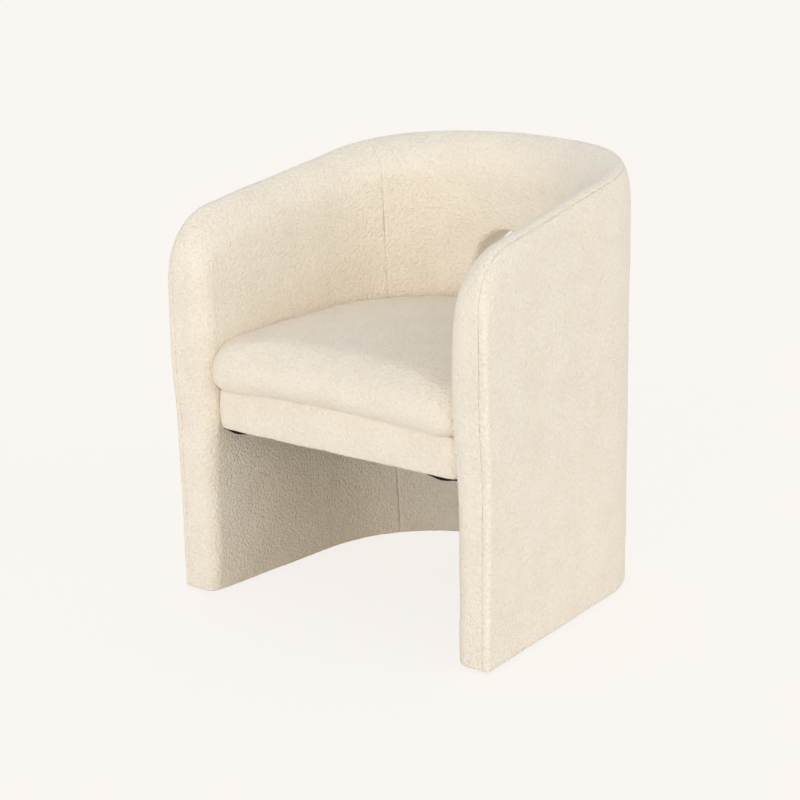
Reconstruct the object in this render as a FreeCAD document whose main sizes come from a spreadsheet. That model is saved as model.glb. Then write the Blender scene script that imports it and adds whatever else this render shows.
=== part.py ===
# Upholstered tub armchair with a cut-out back, as an assembly of frame, boards, foam, covers and a hung seat box.
# Millimetres, +Z up, the chair faces -Y. The origin is on the floor, under the middle of the plan.
import FreeCAD, Part
import math
import os
import Sketcher
from FreeCAD import Rotation, Vector

doc = FreeCAD.newDocument("tub_armchair")

# Driving sizes: each has its own cell, and its alias names it in every expression
SIZES = [
    ("width", 640, "outside width across the arm fronts"),
    ("depth", 590, "outside depth, arm front to back"),
    ("arm_height", 651, "rim height, carried on to the arm front"),
    ("rim_rise", 90, "how much the rim climbs over the depth"),
    ("arm_round", 112, "radius of the arm's front top corner"),
    ("side_toe", 3, "degrees that the outside of an arm leans in towards the back"),
    ("corner_radius", 190, "rear corner of the plan"),
    ("back_radius", 520, "back of the plan"),
    ("arm_wall", 66, "thickness of an arm at its front"),
    ("back_wall", 75, "thickness of the back in the middle"),
    ("inner_toe", 4.4, "degrees that the inside of an arm leans in towards the back"),
    ("edge_out", 15, "rounding of the outer rim and front edges"),
    ("edge_in", 40, "rounding of the inner rim and front edges"),
    ("seam_inset", 12, "seam of the outside cover, from the outer face"),
    ("seam_angle", 40, "degrees from the arm to the seam of the inside back cover"),
    ("cloth", 2, "cover fabric"),
    ("foam_out", 8, "foam on the outside, the fronts and the opening"),
    ("foam_in", 18, "foam on the inside"),
    ("foam_rim", 28, "foam on the rim"),
    ("panel", 3, "curved boards under the foam"),
    ("hole_half", 59, "half width of the back opening"),
    ("hole_top", 564, "top of the back opening"),
    ("hole_bottom", 477, "bottom of the back opening"),
    ("hole_corner", 25, "lower corners of the back opening"),
    ("hole_edge_out", 8, "rounding of the opening on the outside"),
    ("hole_edge_in", 20, "rounding of the opening on the inside"),
    ("plywood", 18, "base ring and rim strip"),
    ("post_depth", 40, "width of a post along the wall"),
    ("side_post_place", 310, "side post, from the arm front"),
    ("ledger_low", 305, "underside of the ledgers that carry the seat"),
    ("ledger_height", 45, "ledgers that carry the seat"),
    ("bottom_sheet", 1, "cloth under the wall, and under the seat"),
    ("glide_height", 4, "plastic glide"),
    ("glide_width", 24, "plastic glide"),
    ("nail_width", 3, "nail of a glide"),
    ("nail_length", 14, "nail of a glide"),
    ("glide_setback", 42, "front glide, from the arm front"),
    ("apron_setback", 27, "front of the seat box, from the arm front"),
    ("apron_low", 295, "underside of the seat box"),
    ("apron_cloth", 3, "padded cover of the seat box"),
    ("apron_return", 30, "part of that cover under the rails"),
    ("apron_edge", 7, "lower edge of that cover"),
    ("apron_reach", 60, "part of that cover along the side rails"),
    ("rail_thickness", 22, "seat rails"),
    ("rail_height", 59, "seat rails"),
    ("seat_gap", 5, "seat rails to the inside of the wall"),
    ("rail_corner", 22, "front corners of the seat box in plan"),
    ("side_rail_end", 290, "where the curved rear rail starts, from the arm front"),
    ("stretcher_height", 40, "stretcher under the webbing"),
    ("stretcher_place", 154, "stretcher, from the arm front"),
    ("block_leg", 48, "legs of a corner block"),
    ("web_width", 50, "webbing"),
    ("web_sheet", 1.5, "webbing"),
    ("web_step", 92, "pitch of the webbing"),
    ("web_first", 100, "middle of the first cross band, from the arm front"),
    ("web_margin", 6, "webbing end, from the outside of a rail"),
    ("cushion_setback", 6, "cushion front, from the arm front"),
    ("cushion_gap", 1, "cushion to the inside of the wall"),
    ("cushion_crown", 465, "highest point of the cushion"),
    ("cushion_fall", 10, "fall of the crown from the middle to the front"),
    ("cushion_corner", 36, "front corners of the cushion in plan"),
    ("cushion_top_edge", 30, "upper edge of the cushion"),
    ("cushion_low_edge", 26, "lower edge of the cushion"),
    ("bolt_width", 8, "seat bolts"),
    ("bolt_head_width", 14, "seat bolts"),
    ("bolt_head_height", 4.5, "seat bolts"),
    ("bolt_clearance", 0.3, "bolt hole, all round"),
    ("bolt_first", 110, "first seat bolt, from the arm front"),
    ("bolt_pitch", 110, "second seat bolt, from the first"),
    ("washer_width", 20, "seat bolts"),
    ("washer_sheet", 1.6, "seat bolts"),
    ("insert_width", 12, "threaded inserts in the ledgers"),
    ("insert_length", 20, "threaded inserts in the ledgers"),
]
sheet = doc.addObject("Spreadsheet::Sheet", "Sizes")
for row, (alias, number, note) in enumerate(SIZES, start=1):
    sheet.set(f"A{row}", note)
    sheet.set(f"B{row}", str(number))
    sheet.setAlias(f"B{row}", alias)
doc.recompute()


def size(alias):
    return float(sheet.get(alias))


def expand(formula):
    """The formula with every alias written as a cell of the sheet, for an expression."""
    words = sorted((alias for alias, _, _ in SIZES), key=len, reverse=True)
    result = ""
    token = ""
    for letter in formula + " ":
        if letter.isalnum() or letter == "_":
            token += letter
            continue
        result += f"Sizes.{token}" if token in words else token
        result += letter
        token = ""
    return result.strip()


def value(formula):
    """The number that a formula of aliases stands for."""
    answer = sheet.evalExpression(expand(formula))
    return float(getattr(answer, "Value", answer))


def bind(thing, **formulas):
    """Ties properties of an object to formulas of aliases; a double underscore stands for a dot."""
    for name, formula in formulas.items():
        thing.setExpression(name.replace("__", "."), expand(formula))
    return thing


# Formulas that many pieces share
FRONT = "(-depth / 2)"
BASE = "(glide_height + bottom_sheet)"
SLOPE = "(rim_rise / depth)"
SLANT = "sqrt(1 + (rim_rise / depth) ^ 2)"
TOE_SIN = "sin(inner_toe * 1deg)"
TOE_COS = "cos(inner_toe * 1deg)"
INNER_RADIUS = (f"(((width / 2 - arm_wall) * {TOE_COS} - depth / 2 * {TOE_SIN}"
                f" - (depth / 2 - back_wall) * {TOE_SIN}) / (1 - {TOE_SIN}))")
INNER_CENTRE = f"(depth / 2 - back_wall - {INNER_RADIUS})"
RAIL_LOW = "(apron_low + apron_cloth)"
RAIL_TOP = f"({RAIL_LOW} + rail_height)"
CUSHION_LOW = f"({RAIL_TOP} + 2 * web_sheet)"
TALL = "(arm_height + rim_rise + back_wall)"


def body_sketch(body, role, name):
    sketch = body.newObject("Sketcher::SketchObject", name)
    plane = next(item for item in body.Origin.OriginFeatures if item.Role == role)
    sketch.AttachmentSupport = [(plane, "")]
    sketch.MapMode = "FlatFace"
    return sketch


def line(x1, y1, x2, y2):
    return Part.LineSegment(Vector(x1, y1, 0), Vector(x2, y2, 0))


def arc(x, y, radius, start, end):
    circle = Part.Circle(Vector(x, y, 0), Vector(0, 0, 1), radius)
    return Part.ArcOfCircle(circle, math.radians(start), math.radians(end))


def constrain(sketch, kind, *places, formula=None):
    """Adds a constraint, and ties its number to a formula when it has one."""
    if formula is None:
        return sketch.addConstraint(Sketcher.Constraint(kind, *places))
    number = value(formula)
    if kind == "Angle":
        number = math.radians(number)
    index = sketch.addConstraint(Sketcher.Constraint(kind, *places, number))
    sketch.setExpression(f"Constraints[{index}]", expand(formula))
    return index


def pad(body, sketch, formula):
    feature = body.newObject("PartDesign::Pad", "Pad")
    feature.Profile = sketch
    bind(feature, Length=formula)
    return feature


def outer_curve(sketch, inset, front):
    """Right side, rear corner, back, rear corner and left side, as geometry 0 to 4 of the sketch."""
    toe = math.radians(size("side_toe"))
    corner = size("corner_radius")
    half = size("width") / 2
    back_centre = size("depth") / 2 - size("back_radius")
    reach = half * math.cos(toe) + value(FRONT) * math.sin(toe)
    arm = reach - corner
    span = size("back_radius") - corner
    mid = arm * math.sin(toe) + math.cos(toe) ** 2 * back_centre
    rest = arm ** 2 + math.cos(toe) ** 2 * (back_centre ** 2 - span ** 2)
    corner_y = mid + math.sqrt(mid ** 2 - rest)
    corner_x = (arm - corner_y * math.sin(toe)) / math.cos(toe)
    turn = math.degrees(math.atan2(corner_y - back_centre, corner_x))
    radius = corner - value(inset)
    side_x = corner_x + radius * math.cos(toe)
    side_y = corner_y + radius * math.sin(toe)
    front_y = value(front)
    front_x = (reach - value(inset) - front_y * math.sin(toe)) / math.cos(toe)
    toe_degrees = size("side_toe")
    sketch.addGeometry([
        line(front_x, front_y, side_x, side_y),
        arc(corner_x, corner_y, radius, toe_degrees, turn),
        arc(0, back_centre, size("back_radius") - value(inset), turn, 180 - turn),
        arc(-corner_x, corner_y, radius, 180 - turn, 180 - toe_degrees),
        line(-side_x, side_y, -front_x, front_y),
    ], False)
    for first in range(4):
        constrain(sketch, "Tangent", first, 2, first + 1, 1)
    constrain(sketch, "Symmetric", 0, 1, 4, 2, -2)
    constrain(sketch, "Symmetric", 1, 3, 3, 3, -2)
    constrain(sketch, "Angle", 0, formula="90 + side_toe")
    constrain(sketch, "Radius", 1, formula=f"corner_radius - ({inset})")
    constrain(sketch, "Radius", 2, formula=f"back_radius - ({inset})")
    toe_sin = "sin(side_toe * 1deg)"
    toe_cos = "cos(side_toe * 1deg)"
    front_formula = f"width / 2 - (({inset}) + (({front}) + depth / 2) * {toe_sin}) / {toe_cos}"
    constrain(sketch, "DistanceX", -1, 1, 0, 1, formula=front_formula)
    return front_x, front_y


def inner_curve(sketch, inset, front):
    """Left side, round back and right side of the inside, set out from its face by the inset."""
    start = sketch.GeometryCount
    toe = math.radians(size("inner_toe"))
    radius = value(INNER_RADIUS) + value(inset)
    centre = value(INNER_CENTRE)
    front_y = value(front)
    front_formula = (f"width / 2 - arm_wall + (({inset}) - (({front}) + depth / 2) * {TOE_SIN}) / {TOE_COS}")
    front_x = value(front_formula)
    side_x = radius * math.cos(toe)
    side_y = centre + radius * math.sin(toe)
    left, back, right = start, start + 1, start + 2
    sketch.addGeometry([
        line(-front_x, front_y, -side_x, side_y),
        arc(0, centre, radius, size("inner_toe"), 180 - size("inner_toe")),
        line(front_x, front_y, side_x, side_y),
    ], False)
    constrain(sketch, "Tangent", left, 2, back, 2)
    constrain(sketch, "Tangent", right, 2, back, 1)
    constrain(sketch, "Symmetric", left, 1, right, 1, -2)
    constrain(sketch, "Angle", right, formula="90 + inner_toe")
    constrain(sketch, "Radius", back, formula=f"{INNER_RADIUS} + ({inset})")
    constrain(sketch, "DistanceX", -1, 1, right, 1, formula=front_formula)
    return left, right, front_x, front_y


def rim_cut(body, front, rim):
    """Cuts the wall along the sloping rim and round the front top corner of the arms."""
    sketch = body_sketch(body, "YZ_Plane", "RimProfile")
    radius = f"(arm_round - ({rim}))"
    round_z = f"arm_height + {SLOPE} * (({front}) + {radius}) - (({rim}) + {radius}) * {SLANT}"
    slope = math.atan(value(SLOPE))
    face_y = value(f"{FRONT} + ({front})")
    bend = value(radius)
    bend_y = face_y + bend
    bend_z = value(round_z)
    rim_y = bend_y - bend * math.sin(slope)
    rim_z = bend_z + bend * math.cos(slope)
    margin = size("back_wall")
    far_y = size("depth") / 2 + margin
    far_z = rim_z + (far_y - rim_y) * math.tan(slope)
    top_z = value(TALL) + margin
    near_y = value(FRONT) - margin
    sketch.addGeometry([
        arc(bend_y, bend_z, bend, 90 + math.degrees(slope), 180),
        line(rim_y, rim_z, far_y, far_z),
        line(far_y, far_z, far_y, top_z),
        line(far_y, top_z, near_y, top_z),
        line(near_y, top_z, near_y, bend_z),
        line(near_y, bend_z, face_y, bend_z),
    ], False)
    constrain(sketch, "Tangent", 0, 1, 1, 1)
    for first in range(1, 5):
        constrain(sketch, "Coincident", first, 2, first + 1, 1)
    constrain(sketch, "Coincident", 5, 2, 0, 2)
    constrain(sketch, "Vertical", 2)
    constrain(sketch, "Horizontal", 3)
    constrain(sketch, "Vertical", 4)
    constrain(sketch, "Horizontal", 5)
    constrain(sketch, "Horizontal", 0, 3, 0, 2)
    constrain(sketch, "Radius", 0, formula=radius)
    constrain(sketch, "Angle", 1, formula=f"atan({SLOPE}) / 1deg")
    constrain(sketch, "DistanceX", 0, 2, -1, 1, formula=f"depth / 2 - ({front})")
    constrain(sketch, "DistanceY", -1, 1, 0, 3, formula=round_z)
    pocket = body.newObject("PartDesign::Pocket", "RimPocket")
    pocket.Profile = sketch
    pocket.Type = "ThroughAll"
    pocket.SideType = "Symmetric"
    return pocket


def hole_cut(body, inset):
    """Cuts the opening in the back: a half round top and a flat bottom with round corners."""
    sketch = body_sketch(body, "XZ_Plane", "HoleProfile")
    half = value(f"hole_half + ({inset})")
    corner = value(f"hole_corner + ({inset})")
    middle = value("hole_top - hole_half")
    low = value(f"hole_bottom - ({inset})")
    sketch.addGeometry([
        arc(0, middle, half, 0, 180),
        line(-half, middle, -half, low + corner),
        arc(corner - half, low + corner, corner, 180, 270),
        line(corner - half, low, half - corner, low),
        arc(half - corner, low + corner, corner, 270, 360),
        line(half, low + corner, half, middle),
    ], False)
    for first in range(5):
        constrain(sketch, "Tangent", first, 2, first + 1, 1)
    constrain(sketch, "Tangent", 5, 2, 0, 1)
    constrain(sketch, "PointOnObject", 0, 3, -2)
    constrain(sketch, "Horizontal", 3)
    constrain(sketch, "Radius", 0, formula=f"hole_half + ({inset})")
    constrain(sketch, "Radius", 2, formula=f"hole_corner + ({inset})")
    constrain(sketch, "Radius", 4, formula=f"hole_corner + ({inset})")
    constrain(sketch, "DistanceY", -1, 1, 0, 3, formula="hole_top - hole_half")
    constrain(sketch, "DistanceY", -1, 1, 3, 1, formula=f"hole_bottom - ({inset})")
    pocket = body.newObject("PartDesign::Pocket", "HolePocket")
    pocket.Profile = sketch
    pocket.Type = "ThroughAll"
    pocket.SideType = "Symmetric"
    return pocket


def round_edges(body, tip, plan, curve, hole, radius):
    """Rounds the rim and front edges, or those of the opening, that lie on one curve of the plan."""
    doc.recompute()
    front_y = min(vertex.Y for vertex in plan.Shape.Vertexes)
    base_z = plan.Shape.BoundBox.ZMin
    track = Part.Compound([plan.Shape.Edges[index] for index in curve])
    names = []
    for index, edge in enumerate(tip.Shape.Edges, start=1):
        middle = edge.valueAt((edge.FirstParameter + edge.LastParameter) / 2)
        foot = Part.Vertex(middle.x, middle.y, base_z)
        box = edge.BoundBox
        upright = box.XLength < 0.01 and box.YLength < 0.01
        at_hole = abs(middle.x) < size("hole_half") + size("cloth") + 1 and middle.z < size("hole_top") + 10
        if box.ZMax < base_z + 0.01 or at_hole != hole:
            continue
        if upright and middle.y > front_y + 0.01:
            continue
        if track.distToShape(foot)[0] < 0.01:
            names.append(f"Edge{index}")
    fillet = body.newObject("PartDesign::Fillet", "Rounding")
    fillet.Base = (tip, names)
    bind(fillet, Radius=radius)
    return fillet


def wall(name, outer, inner, front, rim, hole, rounded=False):
    """The wall set in by the given amounts from the chair's outside, inside, fronts, rim and opening."""
    body = doc.addObject("PartDesign::Body", name)
    plan = body_sketch(body, "XY_Plane", "Plan")
    front_line = f"{FRONT} + ({front})"
    outer_curve(plan, outer, front_line)
    left, right, _, _ = inner_curve(plan, inner, front_line)
    start = plan.GeometryCount
    for side, (outside, end, inside) in enumerate([(4, 2, left), (0, 1, right)]):
        geometry = plan.Geometry
        first = geometry[outside].EndPoint if end == 2 else geometry[outside].StartPoint
        second = geometry[inside].StartPoint
        plan.addGeometry(line(first.x, first.y, second.x, second.y), False)
        constrain(plan, "Coincident", start + side, 1, outside, end)
        constrain(plan, "Coincident", start + side, 2, inside, 1)
    constrain(plan, "Horizontal", start)
    constrain(plan, "DistanceY", 0, 1, -1, 1, formula=f"depth / 2 - ({front})")
    bind(plan, AttachmentOffset__Base__z=BASE)
    pad(body, plan, TALL)
    rim_cut(body, front, rim)
    tip = hole_cut(body, hole)
    if rounded:
        outside = range(0, 5)
        inside = range(5, 8)
        tip = round_edges(body, tip, plan, outside, True, f"hole_edge_out - ({outer})")
        tip = round_edges(body, tip, plan, inside, True, f"hole_edge_in - ({outer})")
        tip = round_edges(body, tip, plan, outside, False, f"edge_out - ({outer})")
        tip = round_edges(body, tip, plan, inside, False, f"edge_in - ({outer})")
    body.Tip = tip
    return body


def seat_plan(name, inset, front, low, height, corner=None):
    """A D-shaped prism inside the wall: straight front, leaning sides, round back and, if asked, round corners."""
    body = doc.addObject("PartDesign::Body", name)
    plan = body_sketch(body, "XY_Plane", "Plan")
    left, right, front_x, front_y = inner_curve(plan, f"-({inset})", f"{FRONT} + ({front})")
    plan.addGeometry(line(-front_x, front_y, front_x, front_y), False)
    constrain(plan, "Coincident", 3, 1, left, 1)
    constrain(plan, "Coincident", 3, 2, right, 1)
    constrain(plan, "DistanceY", 3, 1, -1, 1, formula=f"depth / 2 - ({front})")
    bind(plan, AttachmentOffset__Base__z=low)
    block = pad(body, plan, height)
    if corner is not None:
        doc.recompute()
        names = []
        for index, edge in enumerate(block.Shape.Edges, start=1):
            limits = edge.BoundBox
            if limits.XLength < 0.01 and limits.YMax < front_y + 0.01:
                names.append(f"Edge{index}")
        rounding = body.newObject("PartDesign::Fillet", "FrontCorners")
        rounding.Base = (block, names)
        bind(rounding, Radius=corner)
        body.Tip = rounding
    return body


def box(name, x, y, z, length, width, height):
    block = doc.addObject("Part::Box", name)
    bind(block, Length=length, Width=width, Height=height)
    bind(block, Placement__Base__x=x, Placement__Base__y=y, Placement__Base__z=z)
    return block


def boolean(kind, label, base, tool):
    result = doc.addObject(f"Part::{kind}", label)
    result.Base = base
    result.Tool = tool
    return result


def compound(label, pieces):
    group = doc.addObject("Part::Compound", label)
    group.Links = pieces
    return group


def mirrored(label, source):
    twin = doc.addObject("Part::Mirroring", label)
    twin.Source = source
    twin.Normal = Vector(1, 0, 0)
    return twin


# Wall envelopes: the outside of the covers, of the foam, of the two boards and of the frame behind the rim strip
FOAM_FRONT = "cloth + foam_out"
FOAM_RIM = "cloth + foam_rim"
cover_form = wall("cover_form", "0", "0", "0", "0", "0", rounded=True)
foam_form = wall("foam_form", "cloth", "cloth", "cloth", "cloth", "cloth", rounded=True)
board_form = wall("board_form", FOAM_FRONT, "cloth + foam_in", FOAM_FRONT, FOAM_RIM, FOAM_FRONT)
core_form = wall("core_form", f"{FOAM_FRONT} + panel", "cloth + foam_in", FOAM_FRONT, FOAM_RIM, FOAM_FRONT)
frame_form = wall("frame_form", f"{FOAM_FRONT} + panel", "cloth + foam_in + panel",
                  FOAM_FRONT, FOAM_RIM, FOAM_FRONT)
post_form = wall("post_form", f"{FOAM_FRONT} + panel", "cloth + foam_in + panel",
                 f"{FOAM_FRONT} + plywood", f"{FOAM_RIM} + plywood", FOAM_FRONT)

# Seat bolts: two on each side, square to the inside of the arm, with their washers, inserts and holes
BOLT_HEIGHT = "(ledger_low + ledger_height / 2)"
RAIL_FACE = "(seat_gap + rail_thickness)"
LEDGER_FACE = "(cloth + foam_in + panel)"


def bolt_row(label, radius, start, length, bore=None):
    """One round piece at each seat bolt; the start is measured outwards from the inside of the arm."""
    pieces = []
    for side, turn in ((1, "inner_toe"), (-1, "180 - inner_toe")):
        for number in range(2):
            along = f"(bolt_first + {number} * bolt_pitch)"
            shape = doc.addObject("Part::Cylinder", f"{label}_round")
            bind(shape, Radius=radius, Height=length)
            if bore is not None:
                hole = doc.addObject("Part::Cylinder", f"{label}_bore")
                bind(hole, Radius=bore, Height=length)
                shape = boolean("Cut", f"{label}_ring", shape, hole)
            out = f"(width / 2 - arm_wall - {along} * {TOE_SIN} / {TOE_COS} + ({start}) * {TOE_COS})"
            bind(shape, Placement__Base__x=f"{side} * {out}",
                 Placement__Base__y=f"{FRONT} + {along} + ({start}) * {TOE_SIN}",
                 Placement__Base__z=BOLT_HEIGHT)
            yaw = value(turn)
            shape.Placement.Rotation = Rotation(Vector(0, 0, 1), yaw) * Rotation(Vector(0, 1, 0), 90)
            pieces.append(shape)
    return compound(label, pieces)


bolt_reach = f"{RAIL_FACE} + washer_sheet"
shanks = bolt_row("shanks", "bolt_width / 2", f"-({bolt_reach})", f"{bolt_reach} + {LEDGER_FACE} + insert_length")
heads = bolt_row("heads", "bolt_head_width / 2", f"-({bolt_reach} + bolt_head_height)", "bolt_head_height")
bolt_washers = bolt_row("bolt_washers", "washer_width / 2", f"-({bolt_reach})", "washer_sheet",
                        bore="bolt_width / 2")
threaded_inserts = bolt_row("threaded_inserts", "insert_width / 2", LEDGER_FACE, "insert_length",
                            bore="bolt_width / 2")
bolt_holes = bolt_row("bolt_holes", "bolt_width / 2 + bolt_clearance", f"-({bolt_reach})",
                      f"{bolt_reach} + {LEDGER_FACE}")
insert_holes = bolt_row("insert_holes", "insert_width / 2", f"{LEDGER_FACE} - 1", "insert_length + 1")
seat_bolts = boolean("Fuse", "seat_bolts", shanks, heads)

# Glides: six nailed discs under the middle of the wall
MIDDLE_TOE = "tan((side_toe + inner_toe) / 2 * 1deg)"
GLIDE_REACH = f"({INNER_RADIUS} + back_wall / 2)"
glide_places = []
for side in (1, -1):
    for along in ("glide_setback", "(depth / 2)"):
        across = f"(width / 2 - arm_wall / 2 - {along} * {MIDDLE_TOE})"
        glide_places.append((f"{side} * {across}", f"{FRONT} + {along}"))
    diagonal = f"{GLIDE_REACH} * cos(45deg)"
    glide_places.append((f"{side} * {diagonal}", f"{INNER_CENTRE} + {diagonal}"))
discs = []
nails = []
for x, y in glide_places:
    disc = doc.addObject("Part::Cylinder", "glide_disc")
    bind(disc, Radius="glide_width / 2", Height="glide_height",
         Placement__Base__x=x, Placement__Base__y=y)
    nail = doc.addObject("Part::Cylinder", "glide_nail")
    bind(nail, Radius="nail_width / 2", Height="nail_length",
         Placement__Base__x=x, Placement__Base__y=y, Placement__Base__z="glide_height")
    discs.append(disc)
    nails.append(nail)
nail_group = compound("nail_group", nails)
glides = boolean("Fuse", "glides", compound("disc_group", discs), nail_group)

# Bottom cloth and base ring, both pierced by the nails of the glides
ALL_X = "(-width)"
ALL_Y = "(-depth)"
bottom_slab = box("bottom_slab", ALL_X, ALL_Y, BASE, "2 * width", "2 * depth", "bottom_sheet")
bottom_raised = boolean("Common", "bottom_raised", board_form, bottom_slab)
bind(bottom_raised, Placement__Base__z="-bottom_sheet")
bottom_cloth = boolean("Cut", "bottom_cloth", bottom_raised, nail_group)
base_slab = box("base_slab", ALL_X, ALL_Y, BASE, "2 * width", "2 * depth", "plywood")
base_blank = boolean("Common", "base_blank", frame_form, base_slab)
base_ring = boolean("Cut", "base_ring", base_blank, nail_group)

# Rim strip: bent plywood up the arm fronts, round the corners and along the rim, standing on the base ring
POST_LOW = f"({BASE} + plywood)"
rim_band = boolean("Cut", "rim_band", frame_form, post_form)
above_base = box("above_base", ALL_X, ALL_Y, POST_LOW, "2 * width", "2 * depth", TALL)
rim_rail = boolean("Common", "rim_rail", rim_band, above_base)

# Posts of the wall: front posts behind the rim strip, side posts, and rear posts beside the opening
posts = {}
OPENING_SIDE = f"(hole_half + {FOAM_FRONT})"
POST_FRONT = f"({FRONT} + {FOAM_FRONT} + plywood)"
SIDE_POST = f"({FRONT} + side_post_place)"
left_blocks = {
    "front_post": box("front_post_block", "-width", POST_FRONT, POST_LOW, "width", "post_depth", TALL),
    "side_post": box("side_post_block", "-width", SIDE_POST, POST_LOW, "width", "post_depth", TALL),
    "rear_post": box("rear_post_block", f"-{OPENING_SIDE} - post_depth", "0", POST_LOW,
                     "post_depth", "depth", TALL),
}
for name, block in left_blocks.items():
    posts[f"{name}_left"] = boolean("Common", f"{name}_left", post_form, block)
    posts[f"{name}_right"] = mirrored(f"{name}_right", posts[f"{name}_left"])

# Ledgers between the posts: the side ones take the seat bolts
ledger_start = f"({POST_FRONT} + post_depth)"
ledger_block = box("ledger_block", "-width", ledger_start, "ledger_low", "width",
                   f"{SIDE_POST} - {ledger_start}", "ledger_height")
ledger_blank = boolean("Common", "ledger_blank", post_form, ledger_block)
ledger_drilled = boolean("Cut", "ledger_drilled", ledger_blank, insert_holes)
ledger_left = boolean("Cut", "ledger_left", ledger_drilled, bolt_holes)
ledger_right = mirrored("ledger_right", ledger_left)
corner_start = f"({SIDE_POST} + post_depth)"
corner_block = box("corner_rib_block", "-width", corner_start, "ledger_low",
                   f"width - {OPENING_SIDE} - post_depth", "depth", "plywood")
corner_rib_left = boolean("Common", "corner_rib_left", post_form, corner_block)
corner_rib_right = mirrored("corner_rib_right", corner_rib_left)

# Sill and header of the opening, between the rear posts
sill_block = box("sill_block", f"-{OPENING_SIDE}", "0", f"hole_bottom - {FOAM_FRONT} - ledger_height",
                 f"2 * {OPENING_SIDE}", "depth", "ledger_height")
cutout_sill = boolean("Common", "cutout_sill", post_form, sill_block)
header_block = box("header_block", f"-{OPENING_SIDE}", "0", "hole_top - hole_half",
                   f"2 * {OPENING_SIDE}", "depth", f"hole_half + {FOAM_FRONT} + ledger_height")
cutout_header = boolean("Common", "cutout_header", post_form, header_block)

# Curved boards that the foam is glued to
outer_board = boolean("Cut", "outer_board", board_form, core_form)
inner_blank = boolean("Cut", "inner_blank", core_form, frame_form)
inner_board = boolean("Cut", "inner_board", inner_blank, bolt_holes)


def seam_region(name):
    """The left arm's share of the plan, up to the upright seam plane through the middle of the round inside."""
    body = doc.addObject("PartDesign::Body", name)
    sketch = body_sketch(body, "XY_Plane", "Region")
    reach = "(2 * width)"
    centre = value(INNER_CENTRE)
    angle = math.radians(size("seam_angle"))
    span = value(reach)
    corners = [(0, -span), (0, centre), (-span * math.cos(angle), centre + span * math.sin(angle)),
               (-span * math.cos(angle), -span)]
    for (x1, y1), (x2, y2) in zip(corners, corners[1:] + corners[:1]):
        sketch.addGeometry(line(x1, y1, x2, y2), False)
    for first in range(4):
        constrain(sketch, "Coincident", first, 2, (first + 1) % 4, 1)
    constrain(sketch, "Vertical", 0)
    constrain(sketch, "Vertical", 2)
    constrain(sketch, "Horizontal", 3)
    constrain(sketch, "PointOnObject", 0, 1, -2)
    constrain(sketch, "DistanceY", -1, 1, 0, 2, formula=INNER_CENTRE)
    constrain(sketch, "DistanceY", 0, 1, -1, 1, formula=reach)
    constrain(sketch, "Distance", 1, formula=reach)
    constrain(sketch, "Angle", 1, formula="180 - seam_angle")
    pad(body, sketch, TALL)
    return body


left_region = seam_region("left_region")
right_region = mirrored("right_region", left_region)
both_regions = compound("both_regions", [left_region, right_region])

# Foam of the arms and the back
foam_shell = boolean("Cut", "foam_shell", foam_form, board_form)
foam_back = boolean("Cut", "foam_back", foam_shell, both_regions)
foam_left_blank = boolean("Common", "foam_left_blank", foam_shell, left_region)
foam_left_arm = boolean("Cut", "foam_left_arm", foam_left_blank, bolt_holes)
foam_right_arm = mirrored("foam_right_arm", foam_left_arm)

# Covers: one outside panel, three inside panels and the lining of the opening
inside_form = doc.addObject("PartDesign::Body", "inside_form")
inside_plan = body_sketch(inside_form, "XY_Plane", "Plan")
front_margin = f"{FRONT} - back_wall"
inside_x, inside_y = outer_curve(inside_plan, "seam_inset", front_margin)
inside_plan.addGeometry(line(-inside_x, inside_y, inside_x, inside_y), False)
constrain(inside_plan, "Coincident", 5, 1, 4, 2)
constrain(inside_plan, "Coincident", 5, 2, 0, 1)
constrain(inside_plan, "DistanceY", 5, 1, -1, 1, formula="depth / 2 + back_wall")
pad(inside_form, inside_plan, TALL)
cover_shell = boolean("Cut", "cover_shell", cover_form, foam_form)
cover_outside = boolean("Cut", "cover_outside", cover_shell, inside_form)
cover_inside = boolean("Common", "cover_inside", cover_shell, inside_form)
LINING_START = "(depth / 2 - back_wall + hole_edge_in / 2)"
lining_reach = "(hole_half + hole_edge_in)"
lining_block = box("lining_block", f"-{lining_reach}", LINING_START, "hole_bottom - hole_edge_in",
                   f"2 * {lining_reach}", "back_wall", "hole_top - hole_bottom + 2 * hole_edge_in")
cutout_lining = boolean("Common", "cutout_lining", cover_inside, lining_block)
cover_back_blank = boolean("Cut", "cover_back_blank", cover_inside, both_regions)
cover_inside_back = boolean("Cut", "cover_inside_back", cover_back_blank, lining_block)
cover_left_blank = boolean("Common", "cover_left_blank", cover_inside, left_region)
cover_inside_left_arm = boolean("Cut", "cover_inside_left_arm", cover_left_blank, bolt_holes)
cover_inside_right_arm = mirrored("cover_inside_right_arm", cover_inside_left_arm)

# Seat box: straight front and side rails and a curved rear rail, cut from one ring
RAIL_FRONT = "(apron_setback + apron_cloth)"
ring_outside = seat_plan("ring_outside", "seat_gap", RAIL_FRONT, RAIL_LOW, "rail_height", corner="rail_corner")
ring_inside = seat_plan("ring_inside", RAIL_FACE, f"{RAIL_FRONT} + rail_thickness", RAIL_LOW, "rail_height")
seat_ring = boolean("Cut", "seat_ring", ring_outside, ring_inside)
SIDE_START = f"({FRONT} + {RAIL_FRONT} + rail_thickness)"
SIDE_END = f"({FRONT} + side_rail_end)"
front_zone = box("front_zone", ALL_X, ALL_Y, "0", "2 * width", f"depth + {SIDE_START}", TALL)
left_zone = box("left_zone", "-width", SIDE_START, "0", "width", f"{SIDE_END} - {SIDE_START}", TALL)
rear_zone = box("rear_zone", ALL_X, SIDE_END, "0", "2 * width", "depth", TALL)
seat_front_rail = boolean("Common", "seat_front_rail", seat_ring, front_zone)
left_rail_blank = boolean("Common", "left_rail_blank", seat_ring, left_zone)
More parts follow.
